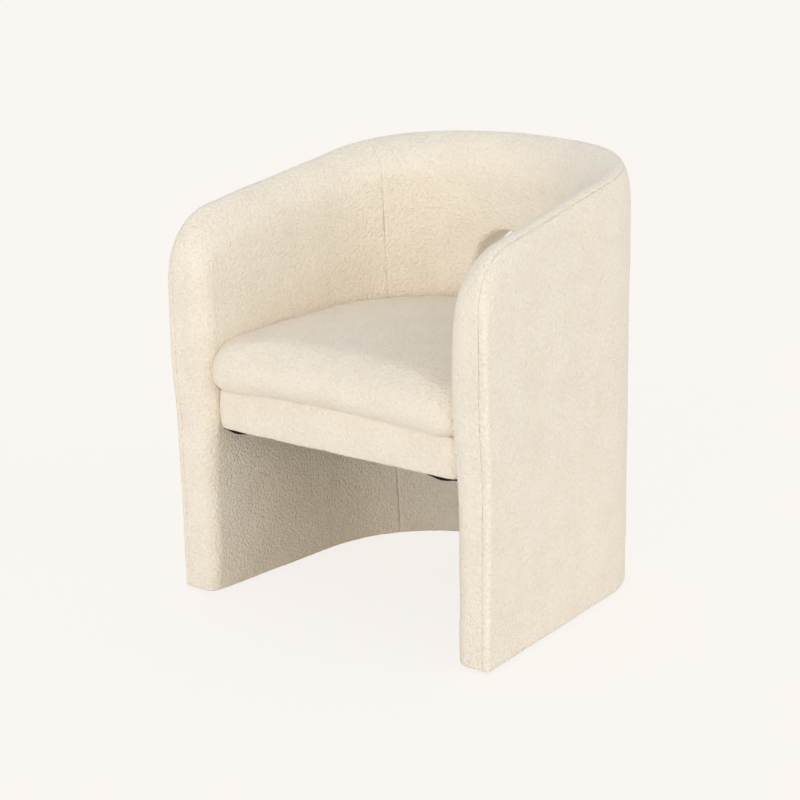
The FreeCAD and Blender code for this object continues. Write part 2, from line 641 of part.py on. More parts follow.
seat_left_rail = boolean("Cut", "seat_left_rail", left_rail_blank, bolt_holes)
seat_right_rail = mirrored("seat_right_rail", seat_left_rail)
seat_rear_rail = boolean("Common", "seat_rear_rail", seat_ring, rear_zone)

# Stretcher between the side rails and blocks in the front corners
stretcher_block = box("stretcher_block", ALL_X, f"{FRONT} + stretcher_place", f"{RAIL_TOP} - stretcher_height",
                      "2 * width", "rail_thickness", "stretcher_height")
seat_stretcher = boolean("Common", "seat_stretcher", ring_inside, stretcher_block)
corner_x = (f"(width / 2 - arm_wall - ({RAIL_FACE} + ({RAIL_FRONT} + rail_thickness) * {TOE_SIN}) / {TOE_COS})")
block_side = "(block_leg * sqrt(2))"
block_blank = box("block_blank", f"-{corner_x}", f"{SIDE_START} - block_leg", f"{RAIL_TOP} - stretcher_height",
                  block_side, block_side, "stretcher_height")
block_blank.Placement.Rotation = Rotation(Vector(0, 0, 1), 45)
left_block = boolean("Common", "left_block", ring_inside, block_blank)
right_block = mirrored("right_block", left_block)
corner_blocks = compound("corner_blocks", [left_block, right_block])

# Webbing: cross bands on the rails, and long bands on the cross bands
web_inset = "seat_gap + web_margin"
web_front = f"{RAIL_FRONT} + web_margin"
cross_sheet = seat_plan("cross_sheet", web_inset, web_front, RAIL_TOP, "web_sheet")
long_sheet = seat_plan("long_sheet", web_inset, web_front, f"{RAIL_TOP} + web_sheet", "web_sheet")
cross_bands = []
long_bands = []
for number in (-1, 0, 1):
    band_start = f"{FRONT} + web_first + {number + 1} * web_step - web_width / 2"
    cross_bands.append(box("cross_band", ALL_X, band_start, RAIL_TOP, "2 * width", "web_width", "web_sheet"))
    long_bands.append(box("long_band", f"{number} * web_step - web_width / 2", ALL_Y,
                          f"{RAIL_TOP} + web_sheet", "web_width", "2 * depth", "web_sheet"))
webbing_cross = boolean("Common", "webbing_cross", cross_sheet, compound("cross_group", cross_bands))
webbing_long = boolean("Common", "webbing_long", long_sheet, compound("long_group", long_bands))


def cushion(name, inset):
    """The crowned seat cushion with its full round edge, set in by the inset on every side."""
    front = f"cushion_setback + ({inset})"
    blank = seat_plan(f"{name}_blank", f"cushion_gap + ({inset})", front, f"{CUSHION_LOW} + ({inset})", TALL,
                      corner=f"cushion_corner - ({inset})")
    dome_reach = f"(({INNER_CENTRE} + {INNER_RADIUS} - ({FRONT} + cushion_setback)) / 2)"
    dome_radius = f"(({dome_reach} ^ 2 + cushion_fall ^ 2) / (2 * cushion_fall))"
    dome = doc.addObject("Part::Sphere", f"{name}_dome")
    bind(dome, Radius=f"{dome_radius} - ({inset})",
         Placement__Base__y=f"{FRONT} + cushion_setback + {dome_reach}",
         Placement__Base__z=f"cushion_crown - {dome_radius}")
    crowned = boolean("Common", f"{name}_crowned", blank, dome)
    doc.recompute()
    low = value(f"{CUSHION_LOW} + ({inset})")
    edges = []
    for index, edge in enumerate(crowned.Shape.Edges, start=1):
        limits = edge.BoundBox
        upright = limits.XLength < 0.01 and limits.YLength < 0.01
        if upright:
            continue
        at_low = limits.ZMax < low + 0.01
        radius = value(f"{'cushion_low_edge' if at_low else 'cushion_top_edge'} - ({inset})")
        edges.append((index, radius, radius))
    rounded = doc.addObject("Part::Fillet", name)
    rounded.Base = crowned
    rounded.Edges = edges
    return rounded


# Cushion foam in its closed cover
cushion_form = cushion("cushion_form", "0")
seat_foam = cushion("seat_foam", "cloth")
seat_cover = boolean("Cut", "seat_cover", cushion_form, seat_foam)

# Apron cover: the padded cloth round the front of the seat box, turned under the rails
APRON_HEIGHT = f"({CUSHION_LOW} - apron_low)"
apron_outside = seat_plan("apron_outside", "seat_gap - apron_cloth", "apron_setback", "apron_low", APRON_HEIGHT,
                          corner="rail_corner + apron_cloth")
doc.recompute()
apron_block = apron_outside.Tip
apron_low_edges = []
for index, edge in enumerate(apron_block.Shape.Edges, start=1):
    if edge.BoundBox.ZMax < size("apron_low") + 0.01:
        apron_low_edges.append(f"Edge{index}")
apron_rounding = apron_outside.newObject("PartDesign::Fillet", "ApronRounding")
apron_rounding.Base = (apron_block, apron_low_edges)
bind(apron_rounding, Radius="apron_edge")
apron_outside.Tip = apron_rounding
apron_inside = seat_plan("apron_inside", "seat_gap", RAIL_FRONT, RAIL_LOW, APRON_HEIGHT, corner="rail_corner")
apron_tray = boolean("Cut", "apron_tray", apron_outside, apron_inside)
apron_opening = seat_plan("apron_opening", "seat_gap + apron_return", f"{RAIL_FRONT} + apron_return", "apron_low",
                          "apron_cloth")
apron_ring = boolean("Cut", "apron_ring", apron_tray, apron_opening)
apron_zone = box("apron_zone", ALL_X, ALL_Y, "0", "2 * width", f"depth + {FRONT} + apron_setback + apron_reach", TALL)
apron_cover = boolean("Common", "apron_cover", apron_ring, apron_zone)

# Dust cloth under the seat box
dust_cover = seat_plan("dust_cover", "seat_gap + apron_cloth", f"{RAIL_FRONT} + apron_cloth",
                       "apron_low - bottom_sheet", "bottom_sheet", corner="rail_corner")

doc.recompute()

# Every sub-part of the chair, in the order in which it is put together
NODES = [
    glides, bottom_cloth, base_ring, rim_rail, *posts.values(), ledger_left, ledger_right, corner_rib_left,
    corner_rib_right, cutout_sill, cutout_header, outer_board, inner_board, foam_left_arm, foam_back,
    foam_right_arm, cover_outside, cover_inside_left_arm, cover_inside_back, cover_inside_right_arm,
    cutout_lining, threaded_inserts, seat_front_rail, seat_left_rail, seat_right_rail, seat_rear_rail,
    seat_stretcher, corner_blocks, webbing_cross, webbing_long, seat_foam, seat_cover, apron_cover, dust_cover,
    bolt_washers, seat_bolts,
]
for thing in doc.Objects:
    if "Invalid" in thing.State or "Error" in thing.State:
        raise RuntimeError(f"{thing.Label} did not build: {thing.State}")
for node in NODES:
    if node.Shape.isNull() or not node.Shape.isValid() or not node.Shape.Solids:
        raise RuntimeError(f"{node.Label} has no valid solid")
os.makedirs("parts", exist_ok=True)
for node in NODES:
    node.Shape.exportStep(os.path.join("parts", f"{node.Label}.step"))
    print(f"{node.Label}: {len(node.Shape.Solids)} solids, {node.Shape.Volume / 1000:.1f} cm3")
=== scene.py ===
import math

import bmesh
import bpy
import numpy as np
from mathutils import Matrix, Vector, noise


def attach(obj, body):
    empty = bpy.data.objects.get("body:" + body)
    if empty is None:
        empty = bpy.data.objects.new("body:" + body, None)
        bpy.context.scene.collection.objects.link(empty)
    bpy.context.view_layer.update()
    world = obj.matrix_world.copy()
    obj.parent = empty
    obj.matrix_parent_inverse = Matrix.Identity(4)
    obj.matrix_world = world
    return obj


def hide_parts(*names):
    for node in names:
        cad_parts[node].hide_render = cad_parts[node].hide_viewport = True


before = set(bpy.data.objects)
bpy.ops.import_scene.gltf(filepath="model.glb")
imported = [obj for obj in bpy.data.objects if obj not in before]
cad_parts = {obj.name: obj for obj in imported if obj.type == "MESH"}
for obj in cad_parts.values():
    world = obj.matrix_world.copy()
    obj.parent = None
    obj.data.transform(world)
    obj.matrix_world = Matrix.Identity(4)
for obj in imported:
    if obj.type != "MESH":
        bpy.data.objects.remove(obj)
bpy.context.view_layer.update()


# Timber of the wall: a plywood base ring and bent rim strip, with pine posts, ledgers, ribs, sill and
# header. It is bare sawn wood, glued and stapled together, all of it under the upholstery.
def start_finish(name, roughness):
    """A new node material: its parts, its shader and the place of a point in the chair's own frame."""
    finish = bpy.data.materials.new(name)
    finish.use_nodes = True
    nodes = finish.node_tree.nodes
    shader = nodes["Principled BSDF"]
    shader.inputs["Roughness"].default_value = roughness
    place = nodes.new("ShaderNodeTexCoord")
    return finish, nodes, finish.node_tree.links, shader, place.outputs["Object"]


def raise_surface(nodes, links, shader, height, strength, distance):
    bump = nodes.new("ShaderNodeBump")
    bump.inputs["Strength"].default_value = strength
    bump.inputs["Distance"].default_value = distance
    links.new(height, bump.inputs["Height"])
    links.new(bump.outputs["Normal"], shader.inputs["Normal"])


def tint_between(nodes, links, factor, low, high, dark, pale):
    ramp = nodes.new("ShaderNodeValToRGB")
    ramp.color_ramp.elements[0].position = low
    ramp.color_ramp.elements[0].color = (*dark, 1)
    ramp.color_ramp.elements[1].position = high
    ramp.color_ramp.elements[1].color = (*pale, 1)
    links.new(factor, ramp.inputs["Fac"])
    return ramp.outputs["Color"]


def bare_wood(name, dark, pale, across):
    finish, nodes, links, shader, place = start_finish(name, 0.72)
    stretch = nodes.new("ShaderNodeMapping")
    stretch.inputs["Scale"].default_value = across
    links.new(place, stretch.inputs["Vector"])
    grain = nodes.new("ShaderNodeTexNoise")
    grain.inputs["Scale"].default_value = 1.0
    grain.inputs["Detail"].default_value = 6.0
    grain.inputs["Distortion"].default_value = 0.7
    links.new(stretch.outputs["Vector"], grain.inputs["Vector"])
    colour = tint_between(nodes, links, grain.outputs["Fac"], 0.32, 0.68, dark, pale)
    links.new(colour, shader.inputs["Base Color"])
    raise_surface(nodes, links, shader, grain.outputs["Fac"], 0.3, 0.0006)
    return finish


def dress(finish, *names):
    for name in names:
        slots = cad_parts[name].data.materials
        slots.clear()
        slots.append(finish)


PINE_DARK = (0.47, 0.29, 0.13)
PINE_PALE = (0.72, 0.53, 0.31)
plywood = bare_wood("plywood", dark=(0.42, 0.27, 0.14), pale=(0.67, 0.50, 0.32), across=(9, 9, 620))
pine_post = bare_wood("pine_post", PINE_DARK, PINE_PALE, across=(130, 130, 6))
dress(plywood, "base_ring", "rim_rail")
dress(pine_post, "front_post_left", "front_post_right", "side_post_left", "side_post_right",
      "rear_post_left", "rear_post_right")
pine_rail = bare_wood("pine_rail", PINE_DARK, PINE_PALE, across=(7, 120, 120))
dress(pine_rail, "cutout_sill", "cutout_header", "corner_rib_left", "corner_rib_right")
pine_ledger = bare_wood(
    "pine_ledger", dark=(0.46, 0.28, 0.13), pale=(0.70, 0.52, 0.31), across=(120, 7, 120))
dress(pine_ledger, "ledger_left", "ledger_right")


# Curved boards: thin bent fibre board on both sides of the timber.
# They are stapled to it, and the foam of the wall is glued to them.
def speckled_finish(name, roughness, scale, detail, limits, tints, relief):
    """A finish with fine, even specks: their scale and detail, their tints and their relief."""
    finish, nodes, links, shader, place = start_finish(name, roughness)
    specks = nodes.new("ShaderNodeTexNoise")
    specks.inputs["Scale"].default_value = scale
    specks.inputs["Detail"].default_value = detail
    links.new(place, specks.inputs["Vector"])
    colour = tint_between(nodes, links, specks.outputs["Fac"], *limits, *tints)
    links.new(colour, shader.inputs["Base Color"])
    raise_surface(nodes, links, shader, specks.outputs["Fac"], *relief)
    return finish


fibre_board = speckled_finish(
    "fibre_board", roughness=0.8, scale=240.0, detail=8.0, limits=(0.3, 0.7),
    tints=((0.34, 0.23, 0.14), (0.52, 0.39, 0.26)), relief=(0.2, 0.0004))
dress(fibre_board, "outer_board", "inner_board")


# Glides: six discs of dark moulded plastic, on which the chair stands.
# They are nailed through the bottom cloth into the base ring.
glide_plastic = speckled_finish(
    "glide_plastic", roughness=0.45, scale=900.0, detail=3.0, limits=(0.35, 0.65),
    tints=((0.045, 0.04, 0.037), (0.075, 0.07, 0.065)), relief=(0.15, 0.0002))
dress(glide_plastic, "glides")


# Outside cover: one panel of cream looped cloth round the outside of the wall, over a thin layer of foam.
# It turns over the outer edge of the fronts and the rim to a seam, and under the base, where it is stapled.
ARM_FRONT = -0.295
BACK_MIDDLE = 0.295
HALF_WIDTH = 0.320
WALL_LOW = 0.005
LOW_ROUND = 0.003
INNER_TOE = math.radians(4.4)
INNER_RADIUS = 0.2315
INNER_Y = -0.0115
INNER_FRONT = 0.254
OUTER_BACK_RADIUS = 0.520
OUTER_BACK_Y = BACK_MIDDLE - OUTER_BACK_RADIUS
ARM_HEIGHT = 0.651
RIM_SLOPE = 0.090 / 0.590
RIM_SLANT = math.hypot(1, RIM_SLOPE)
ARM_ROUND = 0.0905
ROUND_Z = ARM_HEIGHT + RIM_SLOPE * ARM_ROUND - ARM_ROUND * RIM_SLANT

# Seam near the outer edge, and the roll of the rim
EDGE_SEAM = 0.0125
SEAM_DEPTH = 0.0004
SEAM_WIDTH = 0.0017
SEAM_FADE = 0.85
PUCKER = 0.25
PUCKER_WAVES = (1.9, 0.73)
OUTER_ROUND = 0.007
RIM_CREST = 0.023
RIM_FALL_OUT = 0.074
RIM_FALL_IN = 0.071
RIM_ROLL_OUT = 2.4
RIM_ROLL_IN = 1.64
RIM_NOMINAL = 0.066
RIM_FALL_SHARE = 0.5

# Swell of the filling on the arms, and how their lower ends draw in
SWELL_OUT = 0.0045
SWELL_OUT_LEVELS = (0.0, 0.42, 0.70)
SWELL_IN = 0.0095
SWELL_IN_LEVELS = (0.22, 0.46, 0.66)
SWELL_START = 1.35
SWELL_REACH = 0.30
FRONT_REACH = 0.10
TUCK_SHARE = 0.06
TUCK_HEIGHT = 0.075
SET_BACK = 0.007
SET_BACK_TOP = 0.43
SET_BACK_HEIGHT = 0.14


def outside_line():
    """Right half of the outside in plan, from the arm front to the middle of the back."""
    toe = math.radians(3.0)
    corner = 0.190
    reach = HALF_WIDTH * math.cos(toe) + ARM_FRONT * math.sin(toe)
    arm = reach - corner
    span = OUTER_BACK_RADIUS - corner
    mid = arm * math.sin(toe) + math.cos(toe) ** 2 * OUTER_BACK_Y
    rest = arm ** 2 + math.cos(toe) ** 2 * (OUTER_BACK_Y ** 2 - span ** 2)
    corner_y = mid + math.sqrt(mid ** 2 - rest)
    corner_x = (arm - corner_y * math.sin(toe)) / math.cos(toe)
    turn = math.atan2(corner_y - OUTER_BACK_Y, corner_x)
    side_end = (corner_x + corner * math.cos(toe), corner_y + corner * math.sin(toe))
    straight = np.linspace((HALF_WIDTH, ARM_FRONT), side_end, 80)
    bend = np.linspace(toe, turn, 200)[1:]
    bent = np.c_[corner_x + corner * np.cos(bend), corner_y + corner * np.sin(bend)]
    rear = np.linspace(turn, math.pi / 2, 200)[1:]
    back = np.c_[OUTER_BACK_RADIUS * np.cos(rear), OUTER_BACK_Y + OUTER_BACK_RADIUS * np.sin(rear)]
    return np.vstack([straight, bent, back])


OUTER = outside_line()
OUTER_ANGLE = np.arctan2(OUTER[:, 1] - INNER_Y, OUTER[:, 0])
OUTER_REACH = np.hypot(OUTER[:, 0], OUTER[:, 1] - INNER_Y)
SIDE_END_X = INNER_RADIUS * math.cos(INNER_TOE)
SIDE_END_Y = INNER_Y + INNER_RADIUS * math.sin(INNER_TOE)
SIDE = math.hypot(INNER_FRONT - SIDE_END_X, SIDE_END_Y - ARM_FRONT)
HALF = SIDE + INNER_RADIUS * (math.pi / 2 - INNER_TOE)
MEET_Y = INNER_Y + np.interp(INNER_TOE, OUTER_ANGLE, OUTER_REACH) * math.sin(INNER_TOE)


def wall_lines(path):
    """Points of the outside and the inside in plan, at a length along the inside from the right front."""
    near = np.minimum(path, 2 * HALF - path)
    side = np.where(path > HALF, -1.0, 1.0)
    share = np.clip(near / SIDE, 0, 1)
    turn = INNER_TOE + np.maximum(near - SIDE, 0) / INNER_RADIUS
    straight = near < SIDE
    inner_x = np.where(straight, INNER_FRONT + share * (SIDE_END_X - INNER_FRONT),
                       INNER_RADIUS * np.cos(turn))
    inner_y = np.where(straight, ARM_FRONT + share * (SIDE_END_Y - ARM_FRONT),
                       INNER_Y + INNER_RADIUS * np.sin(turn))
    side_y = ARM_FRONT + share * (MEET_Y - ARM_FRONT)
    reach = np.interp(turn, OUTER_ANGLE, OUTER_REACH)
    outer_x = np.where(straight, np.interp(side_y, OUTER[:, 1], OUTER[:, 0]), reach * np.cos(turn))
    outer_y = np.where(straight, side_y, INNER_Y + reach * np.sin(turn))
    return side * outer_x, outer_y, side * inner_x, inner_y


def wall_thickness(path):
    outer_x, outer_y, inner_x, inner_y = wall_lines(path)
    return np.hypot(outer_x - inner_x, outer_y - inner_y)


def hump(position, start, top, end):
    """0 at the start and the end, 1 at the top, smooth between."""
    up = np.clip((position - start) / (top - start), 0, 1)
    down = np.clip((end - position) / (end - top), 0, 1)
    low = np.minimum(up, down)
    return low * low * (3 - 2 * low)


def wall_points(path, share, height):
    """Points of the padded wall; the share runs from 0 on the outside to 1 on the inside."""
    outer_x, outer_y, inner_x, inner_y = wall_lines(path)
    thick = np.hypot(outer_x - inner_x, outer_y - inner_y)
    near = np.minimum(path, 2 * HALF - path)
    on_arm = np.clip(SWELL_START - near / SWELL_REACH, 0, 1)
    swell_out = SWELL_OUT * on_arm * hump(height, *SWELL_OUT_LEVELS)
    swell_in = SWELL_IN * on_arm * hump(height, *SWELL_IN_LEVELS)
    share = share * (1 + (swell_out + swell_in) / thick) - swell_out / thick
    at_front = np.clip(1 - near / FRONT_REACH, 0, 1)
    tucked = TUCK_SHARE * np.clip(1 - height / TUCK_HEIGHT, 0, 1) ** 2 * at_front
    share = share * (1 - tucked)
    lower = np.clip((SET_BACK_TOP - height) / SET_BACK_HEIGHT, 0, 1)
    set_back = SET_BACK * lower * lower * (3 - 2 * lower) * at_front
    x = outer_x + share * (inner_x - outer_x)
    y = outer_y + share * (inner_y - outer_y) + set_back
    return np.stack(np.broadcast_arrays(x, y, height), axis=-1)


def rim_height(y):
    return ARM_HEIGHT + RIM_SLOPE * (y - ARM_FRONT)


# Stations round the edge of the right half: up the arm front, round its top corner and back along the rim
ROW_STEP = 0.005
SEAM_TURN = math.radians(40)
INSIDE_SEAM = SIDE + INNER_RADIUS * (SEAM_TURN - INNER_TOE)
front_z = np.linspace(WALL_LOW + LOW_ROUND, ROUND_Z, int((ROUND_Z - WALL_LOW) / ROW_STEP))
corner_turn = np.linspace(0, math.pi / 2 - math.atan(RIM_SLOPE), 40)[1:]
corner_end = ARM_ROUND - ARM_ROUND * math.cos(corner_turn[-1])
SEAM_STEPS = (-0.0042, -0.0022, -0.0010, 0, 0.0010, 0.0022, 0.0042)
rim_path = np.concatenate([
    np.linspace(corner_end, INSIDE_SEAM + SEAM_STEPS[0], 76)[1:-1],
    INSIDE_SEAM + np.array(SEAM_STEPS),
    np.linspace(INSIDE_SEAM + SEAM_STEPS[-1], HALF, 46)[1:],
])
FRONT_COUNT = len(front_z)
CORNER_COUNT = len(corner_turn)
in_front = slice(0, FRONT_COUNT)
in_corner = slice(FRONT_COUNT, FRONT_COUNT + CORNER_COUNT)
on_rim = slice(FRONT_COUNT + CORNER_COUNT, None)
ROLL_LEAD = 0.040
ROLL_LENGTH = 0.153
roll_start = np.concatenate([front_z - ROUND_Z, ARM_ROUND * corner_turn]) + ROLL_LEAD
roll_share = np.clip(roll_start / ROLL_LENGTH, 0, 1)
rolled = np.concatenate([roll_share ** 2 * (3 - 2 * roll_share), np.ones(len(rim_path))])
FRONT_ROUND = 0.030
FRONT_ROUND_LOW = 0.019
FRONT_ROUND_RISE = 0.09
risen = np.clip(front_z / FRONT_ROUND_RISE, 0, 1)
front_round = np.full(len(rolled), FRONT_ROUND)
front_round[in_front] = FRONT_ROUND_LOW + (FRONT_ROUND - FRONT_ROUND_LOW) * risen


def edge_thickness(rim):
    """Thickness of the wall at every station, for a rim whose stations stand at these lengths."""
    corner_path = ARM_ROUND * (1 - np.cos(corner_turn))
    return wall_thickness(np.concatenate([np.zeros(FRONT_COUNT), corner_path, rim]))[:, None]


def quarter(reach, radius):
    """How far a round edge has dropped, at a reach from where it starts to drop."""
    reach = np.clip(reach, 0, radius)
    return radius - np.sqrt(radius ** 2 - reach ** 2)


def lip_drop(depth, thick):
    """How far the lip lies inside the edge of the wall, at each station and depth from the outer face."""
    inner_round = front_round[:, None]
    front = quarter(OUTER_ROUND - depth, OUTER_ROUND) + quarter(depth - thick + inner_round, inner_round)
    over = np.clip((depth - RIM_CREST) / (thick - RIM_CREST), 0, 1)
    fall = RIM_FALL_IN - RIM_FALL_SHARE * (thick - RIM_NOMINAL)
    under = np.clip(1 - depth / RIM_CREST, 0, 1)
    rim = RIM_FALL_OUT * (1 - (1 - under ** RIM_ROLL_OUT) ** (1 / RIM_ROLL_OUT))
    rim = rim + fall * (1 - np.sqrt(1 - over ** RIM_ROLL_IN))
    return front + rolled[:, None] * (rim - front)


CORNER_FADE = 0.12


def lip_track(rim, share, drop):
    """Path and height of the lip's points, station by station."""
    path = np.array(drop)
    height = np.array(drop)
    height[in_front] = front_z[:, None]
    turn = corner_turn[:, None]
    path[in_corner] = ARM_ROUND - (ARM_ROUND - drop[in_corner]) * np.cos(turn)
    height[in_corner] = ROUND_Z + (ARM_ROUND - drop[in_corner]) * np.sin(turn)
    fade = np.clip(1 - (rim_path - corner_end) / CORNER_FADE, 0, 1)[:, None]
    path[on_rim] = rim[:, None] + RIM_SLOPE * drop[on_rim] * fade
    outer_x, outer_y, inner_x, inner_y = wall_lines(path[on_rim])
    y = outer_y + share[on_rim] * (inner_y - outer_y)
    height[on_rim] = rim_height(y) - RIM_SLANT * drop[on_rim]
    return path, height


def both_halves(path, height, share):
    """The right half's stations and then the left half's, which mirror them."""
    mirror = slice(-2, None, -1)
    full_path = np.concatenate([path, 2 * HALF - path[mirror]])
    return full_path, np.concatenate([height, height[mirror]]), np.concatenate([share, share[mirror]])


def lip_grid(rim, depth, sunk=0.0):
    """Path, height and share of a strip of the lip, round both halves."""
    thick = edge_thickness(rim)
    share = depth / thick
    count = np.arange(len(thick))
    quick, slow = PUCKER_WAVES
    pucker = 1 - PUCKER + PUCKER * np.sin(count * quick) * np.sin(count * slow)
    pulled = (SEAM_DEPTH * pucker * (1 - SEAM_FADE * rolled))[:, None]
    seam = pulled * np.exp(-((depth - EDGE_SEAM) / SEAM_WIDTH) ** 2)
    path, height = lip_track(rim, share, lip_drop(depth, thick) + seam + sunk)
    return both_halves(path, height, share)


FRONT_COLUMNS = 12


def face_grid(rim, share, sway=0.0, sunk=0.0):
    """Path, height and share of the outer face (0) or inner face (1), in columns round both halves."""
    thick = edge_thickness(rim)
    path, height = lip_track(rim, np.full(thick.shape, float(share)), lip_drop(thick * share, thick))
    top_path = path[FRONT_COUNT - 1:]
    top_height = height[FRONT_COUNT - 1:]
    low = front_z[0]
    level = (front_z - low) / (front_z[-1] - low)
    heights = low + (top_height - low) * level
    near_front = np.clip(1 - np.arange(len(top_path)) / FRONT_COLUMNS, 0, 1)[:, None]
    paths = top_path + sway * (1 - level) + near_front * (path[in_front, 0] - top_path[0])
    shares = share - sunk / thick[FRONT_COUNT - 1:] + 0 * heights
    return both_halves(paths, heights, shares)


LOW_BEND = 0.0009
TURN_UNDER = 0.010


def turned_under(chain):
    """Rows that take a lower edge round and under; the wall lies to the left of the chain."""
    step = np.gradient(chain[:, :2], axis=0)
    step /= np.linalg.norm(step, axis=1, keepdims=True)
    inward = np.c_[-step[:, 1], step[:, 0]]
    rows = [chain]
    for reach, height in ((LOW_BEND, WALL_LOW + LOW_BEND), (LOW_ROUND, WALL_LOW), (TURN_UNDER, WALL_LOW)):
        row = chain.copy()
        row[:, :2] += inward * reach
        row[:, 2] = height
        rows.append(row)
    return np.stack(rows)


WELD_GAP = 2e-5
SLIVER = 1e-6


def sewn_mesh(name, patches, toward, faces_out=True):
    """One mesh from grids of points. The face furthest toward a direction faces it, or away from it."""
    points = []
    quads = []
    start = 0
    for grid, gap in patches:
        rows, columns = grid.shape[:2]
        index = start + np.arange(rows * columns).reshape(rows, columns)
        quad = np.stack([index[:-1, :-1], index[1:, :-1], index[1:, 1:], index[:-1, 1:]], axis=-1)
        keep = np.ones(quad.shape[:2], bool)
        if gap is not None:
            keep[gap] = False
        quads.append(quad[keep])
        points.append(grid.reshape(-1, 3))
        start += rows * columns
    mesh = bpy.data.meshes.new(name)
    mesh.from_pydata(np.vstack(points).tolist(), [], np.vstack(quads).tolist())
    work = bmesh.new()
    work.from_mesh(mesh)
    bmesh.ops.remove_doubles(work, verts=work.verts, dist=WELD_GAP)
    bmesh.ops.dissolve_degenerate(work, edges=work.edges, dist=SLIVER)
    loose = [vert for vert in work.verts if not vert.link_faces]
    bmesh.ops.delete(work, geom=loose, context="VERTS")
    bmesh.ops.recalc_face_normals(work, faces=work.faces)
    far = max(work.faces, key=lambda face: face.calc_center_median().dot(Vector(toward)))
    if (far.normal.dot(Vector(toward)) > 0) != faces_out:
        bmesh.ops.reverse_faces(work, faces=work.faces)
    work.to_mesh(mesh)
    work.free()
    mesh.polygons.foreach_set("use_smooth", [True] * len(mesh.polygons))
    return mesh


def uneven_filling(mesh, swell, swell_width, nap, nap_width):
    """Moves each point along its normal: soft filling under the cloth, and the nap of its loops."""
    count = len(mesh.vertices)
    places = np.empty(count * 3)
    normals = np.empty(count * 3)
    mesh.vertices.foreach_get("co", places)
    mesh.vertices.foreach_get("normal", normals)
    places = places.reshape(-1, 3)
    normals = normals.reshape(-1, 3)
    wide = np.array([noise.noise(Vector(place)) for place in places / swell_width])
    fine = np.array([noise.noise(Vector(place)) for place in places / nap_width])
    places = places + normals * (swell * wide + nap * fine)[:, None]
    mesh.vertices.foreach_set("co", places.ravel())
    mesh.update()


def looped_cloth(name):
    """Cream boucle: loops about five millimetres across, painted shade between them, and a soft sheen."""
    finish, nodes, links, shader, place = start_finish(name, 0.95)
    shader.inputs["Sheen Weight"].default_value = 0.12
    shader.inputs["Sheen Roughness"].default_value = 0.6
    shader.inputs["Specular IOR Level"].default_value = 0.15
    wander = nodes.new("ShaderNodeTexNoise")
    wander.inputs["Scale"].default_value = 190.0
    wander.inputs["Detail"].default_value = 2.0
    links.new(place, wander.inputs["Vector"])
    shift = nodes.new("ShaderNodeVectorMath")
    shift.operation = "MULTIPLY_ADD"
    shift.inputs[1].default_value = (0.006, 0.006, 0.006)
    links.new(wander.outputs["Color"], shift.inputs[0])
    links.new(place, shift.inputs[2])
    loops = nodes.new("ShaderNodeTexVoronoi")
    loops.feature = "SMOOTH_F1"
    loops.inputs["Scale"].default_value = 215.0
    loops.inputs["Smoothness"].default_value = 0.6
    links.new(shift.outputs["Vector"], loops.inputs["Vector"])
    fibres = nodes.new("ShaderNodeTexNoise")
    fibres.inputs["Scale"].default_value = 800.0
    fibres.inputs["Detail"].default_value = 3.0
    links.new(place, fibres.inputs["Vector"])
    relief = nodes.new("ShaderNodeMath")
    relief.operation = "MULTIPLY_ADD"
    relief.inputs[1].default_value = -1.0
    links.new(loops.outputs["Distance"], relief.inputs[0])
    fuzz = nodes.new("ShaderNodeMath")
    fuzz.operation = "MULTIPLY"
    fuzz.inputs[1].default_value = 0.35
    links.new(fibres.outputs["Fac"], fuzz.inputs[0])
    links.new(fuzz.outputs["Value"], relief.inputs[2])
    raise_surface(nodes, links, shader, relief.outputs["Value"], 1.0, 0.0024)
    # Painted shade: the gaps between the loops are coloured darker than the loop tops.
    painted_gap_shade = tint_between(nodes, links, loops.outputs["Distance"], 0.15, 0.75,
                             (0.940, 0.869, 0.770), (0.895, 0.813, 0.694))
    cloud = nodes.new("ShaderNodeTexNoise")
    cloud.inputs["Scale"].default_value = 16.0
    cloud.inputs["Detail"].default_value = 4.0
    links.new(place, cloud.inputs["Vector"])
    cloud_tint = tint_between(nodes, links, cloud.outputs["Fac"], 0.3, 0.7,
                              (0.96, 0.95, 0.935), (1.0, 1.0, 1.0))
    blend = nodes.new("ShaderNodeMix")
    blend.data_type = "RGBA"
    blend.blend_type = "MULTIPLY"
    blend.inputs["Factor"].default_value = 1.0
    links.new(painted_gap_shade, blend.inputs["A"])
    links.new(cloud_tint, blend.inputs["B"])
    links.new(blend.outputs["Result"], shader.inputs["Base Color"])
    return finish


def cloth_piece(name, mesh, finish, thickness):
    piece = bpy.data.objects.new(name, mesh)
    bpy.context.scene.collection.objects.link(piece)
    mesh.materials.append(finish)
    skin = piece.modifiers.new("cloth thickness", "SOLIDIFY")
    skin.thickness = thickness
    skin.offset = -1
    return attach(piece, "root")


# Opening in the back: a flat sill with round corners under an arch, higher inside than outside.
# Both covers roll into it.
HOLE_LOW = 0.477
HOLE_CORNER = 0.025
HOLE_MIDDLE = 0.512
HOLE_INSIDE = {"half": 0.0625, "top": 0.574, "arch": 0.0625}
HOLE_OUTSIDE = {"half": 0.0660, "top": 0.5705, "arch": 0.0645}
HOLE_ROUND_IN = 0.009
HOLE_ROUND_OUT = 0.008
PATCH_TRIM = 0.012
PATCH_ROWS = 8
ROLL_ROWS = 7


def round_corner(x, z, radius, start):
    """Points of a quarter round corner in the upright plane, and the directions out of it."""
    turn = np.radians(np.linspace(start, start + 90, 60))
    normal = np.c_[np.cos(turn), np.sin(turn)]
    return (x, z) + radius * normal, normal


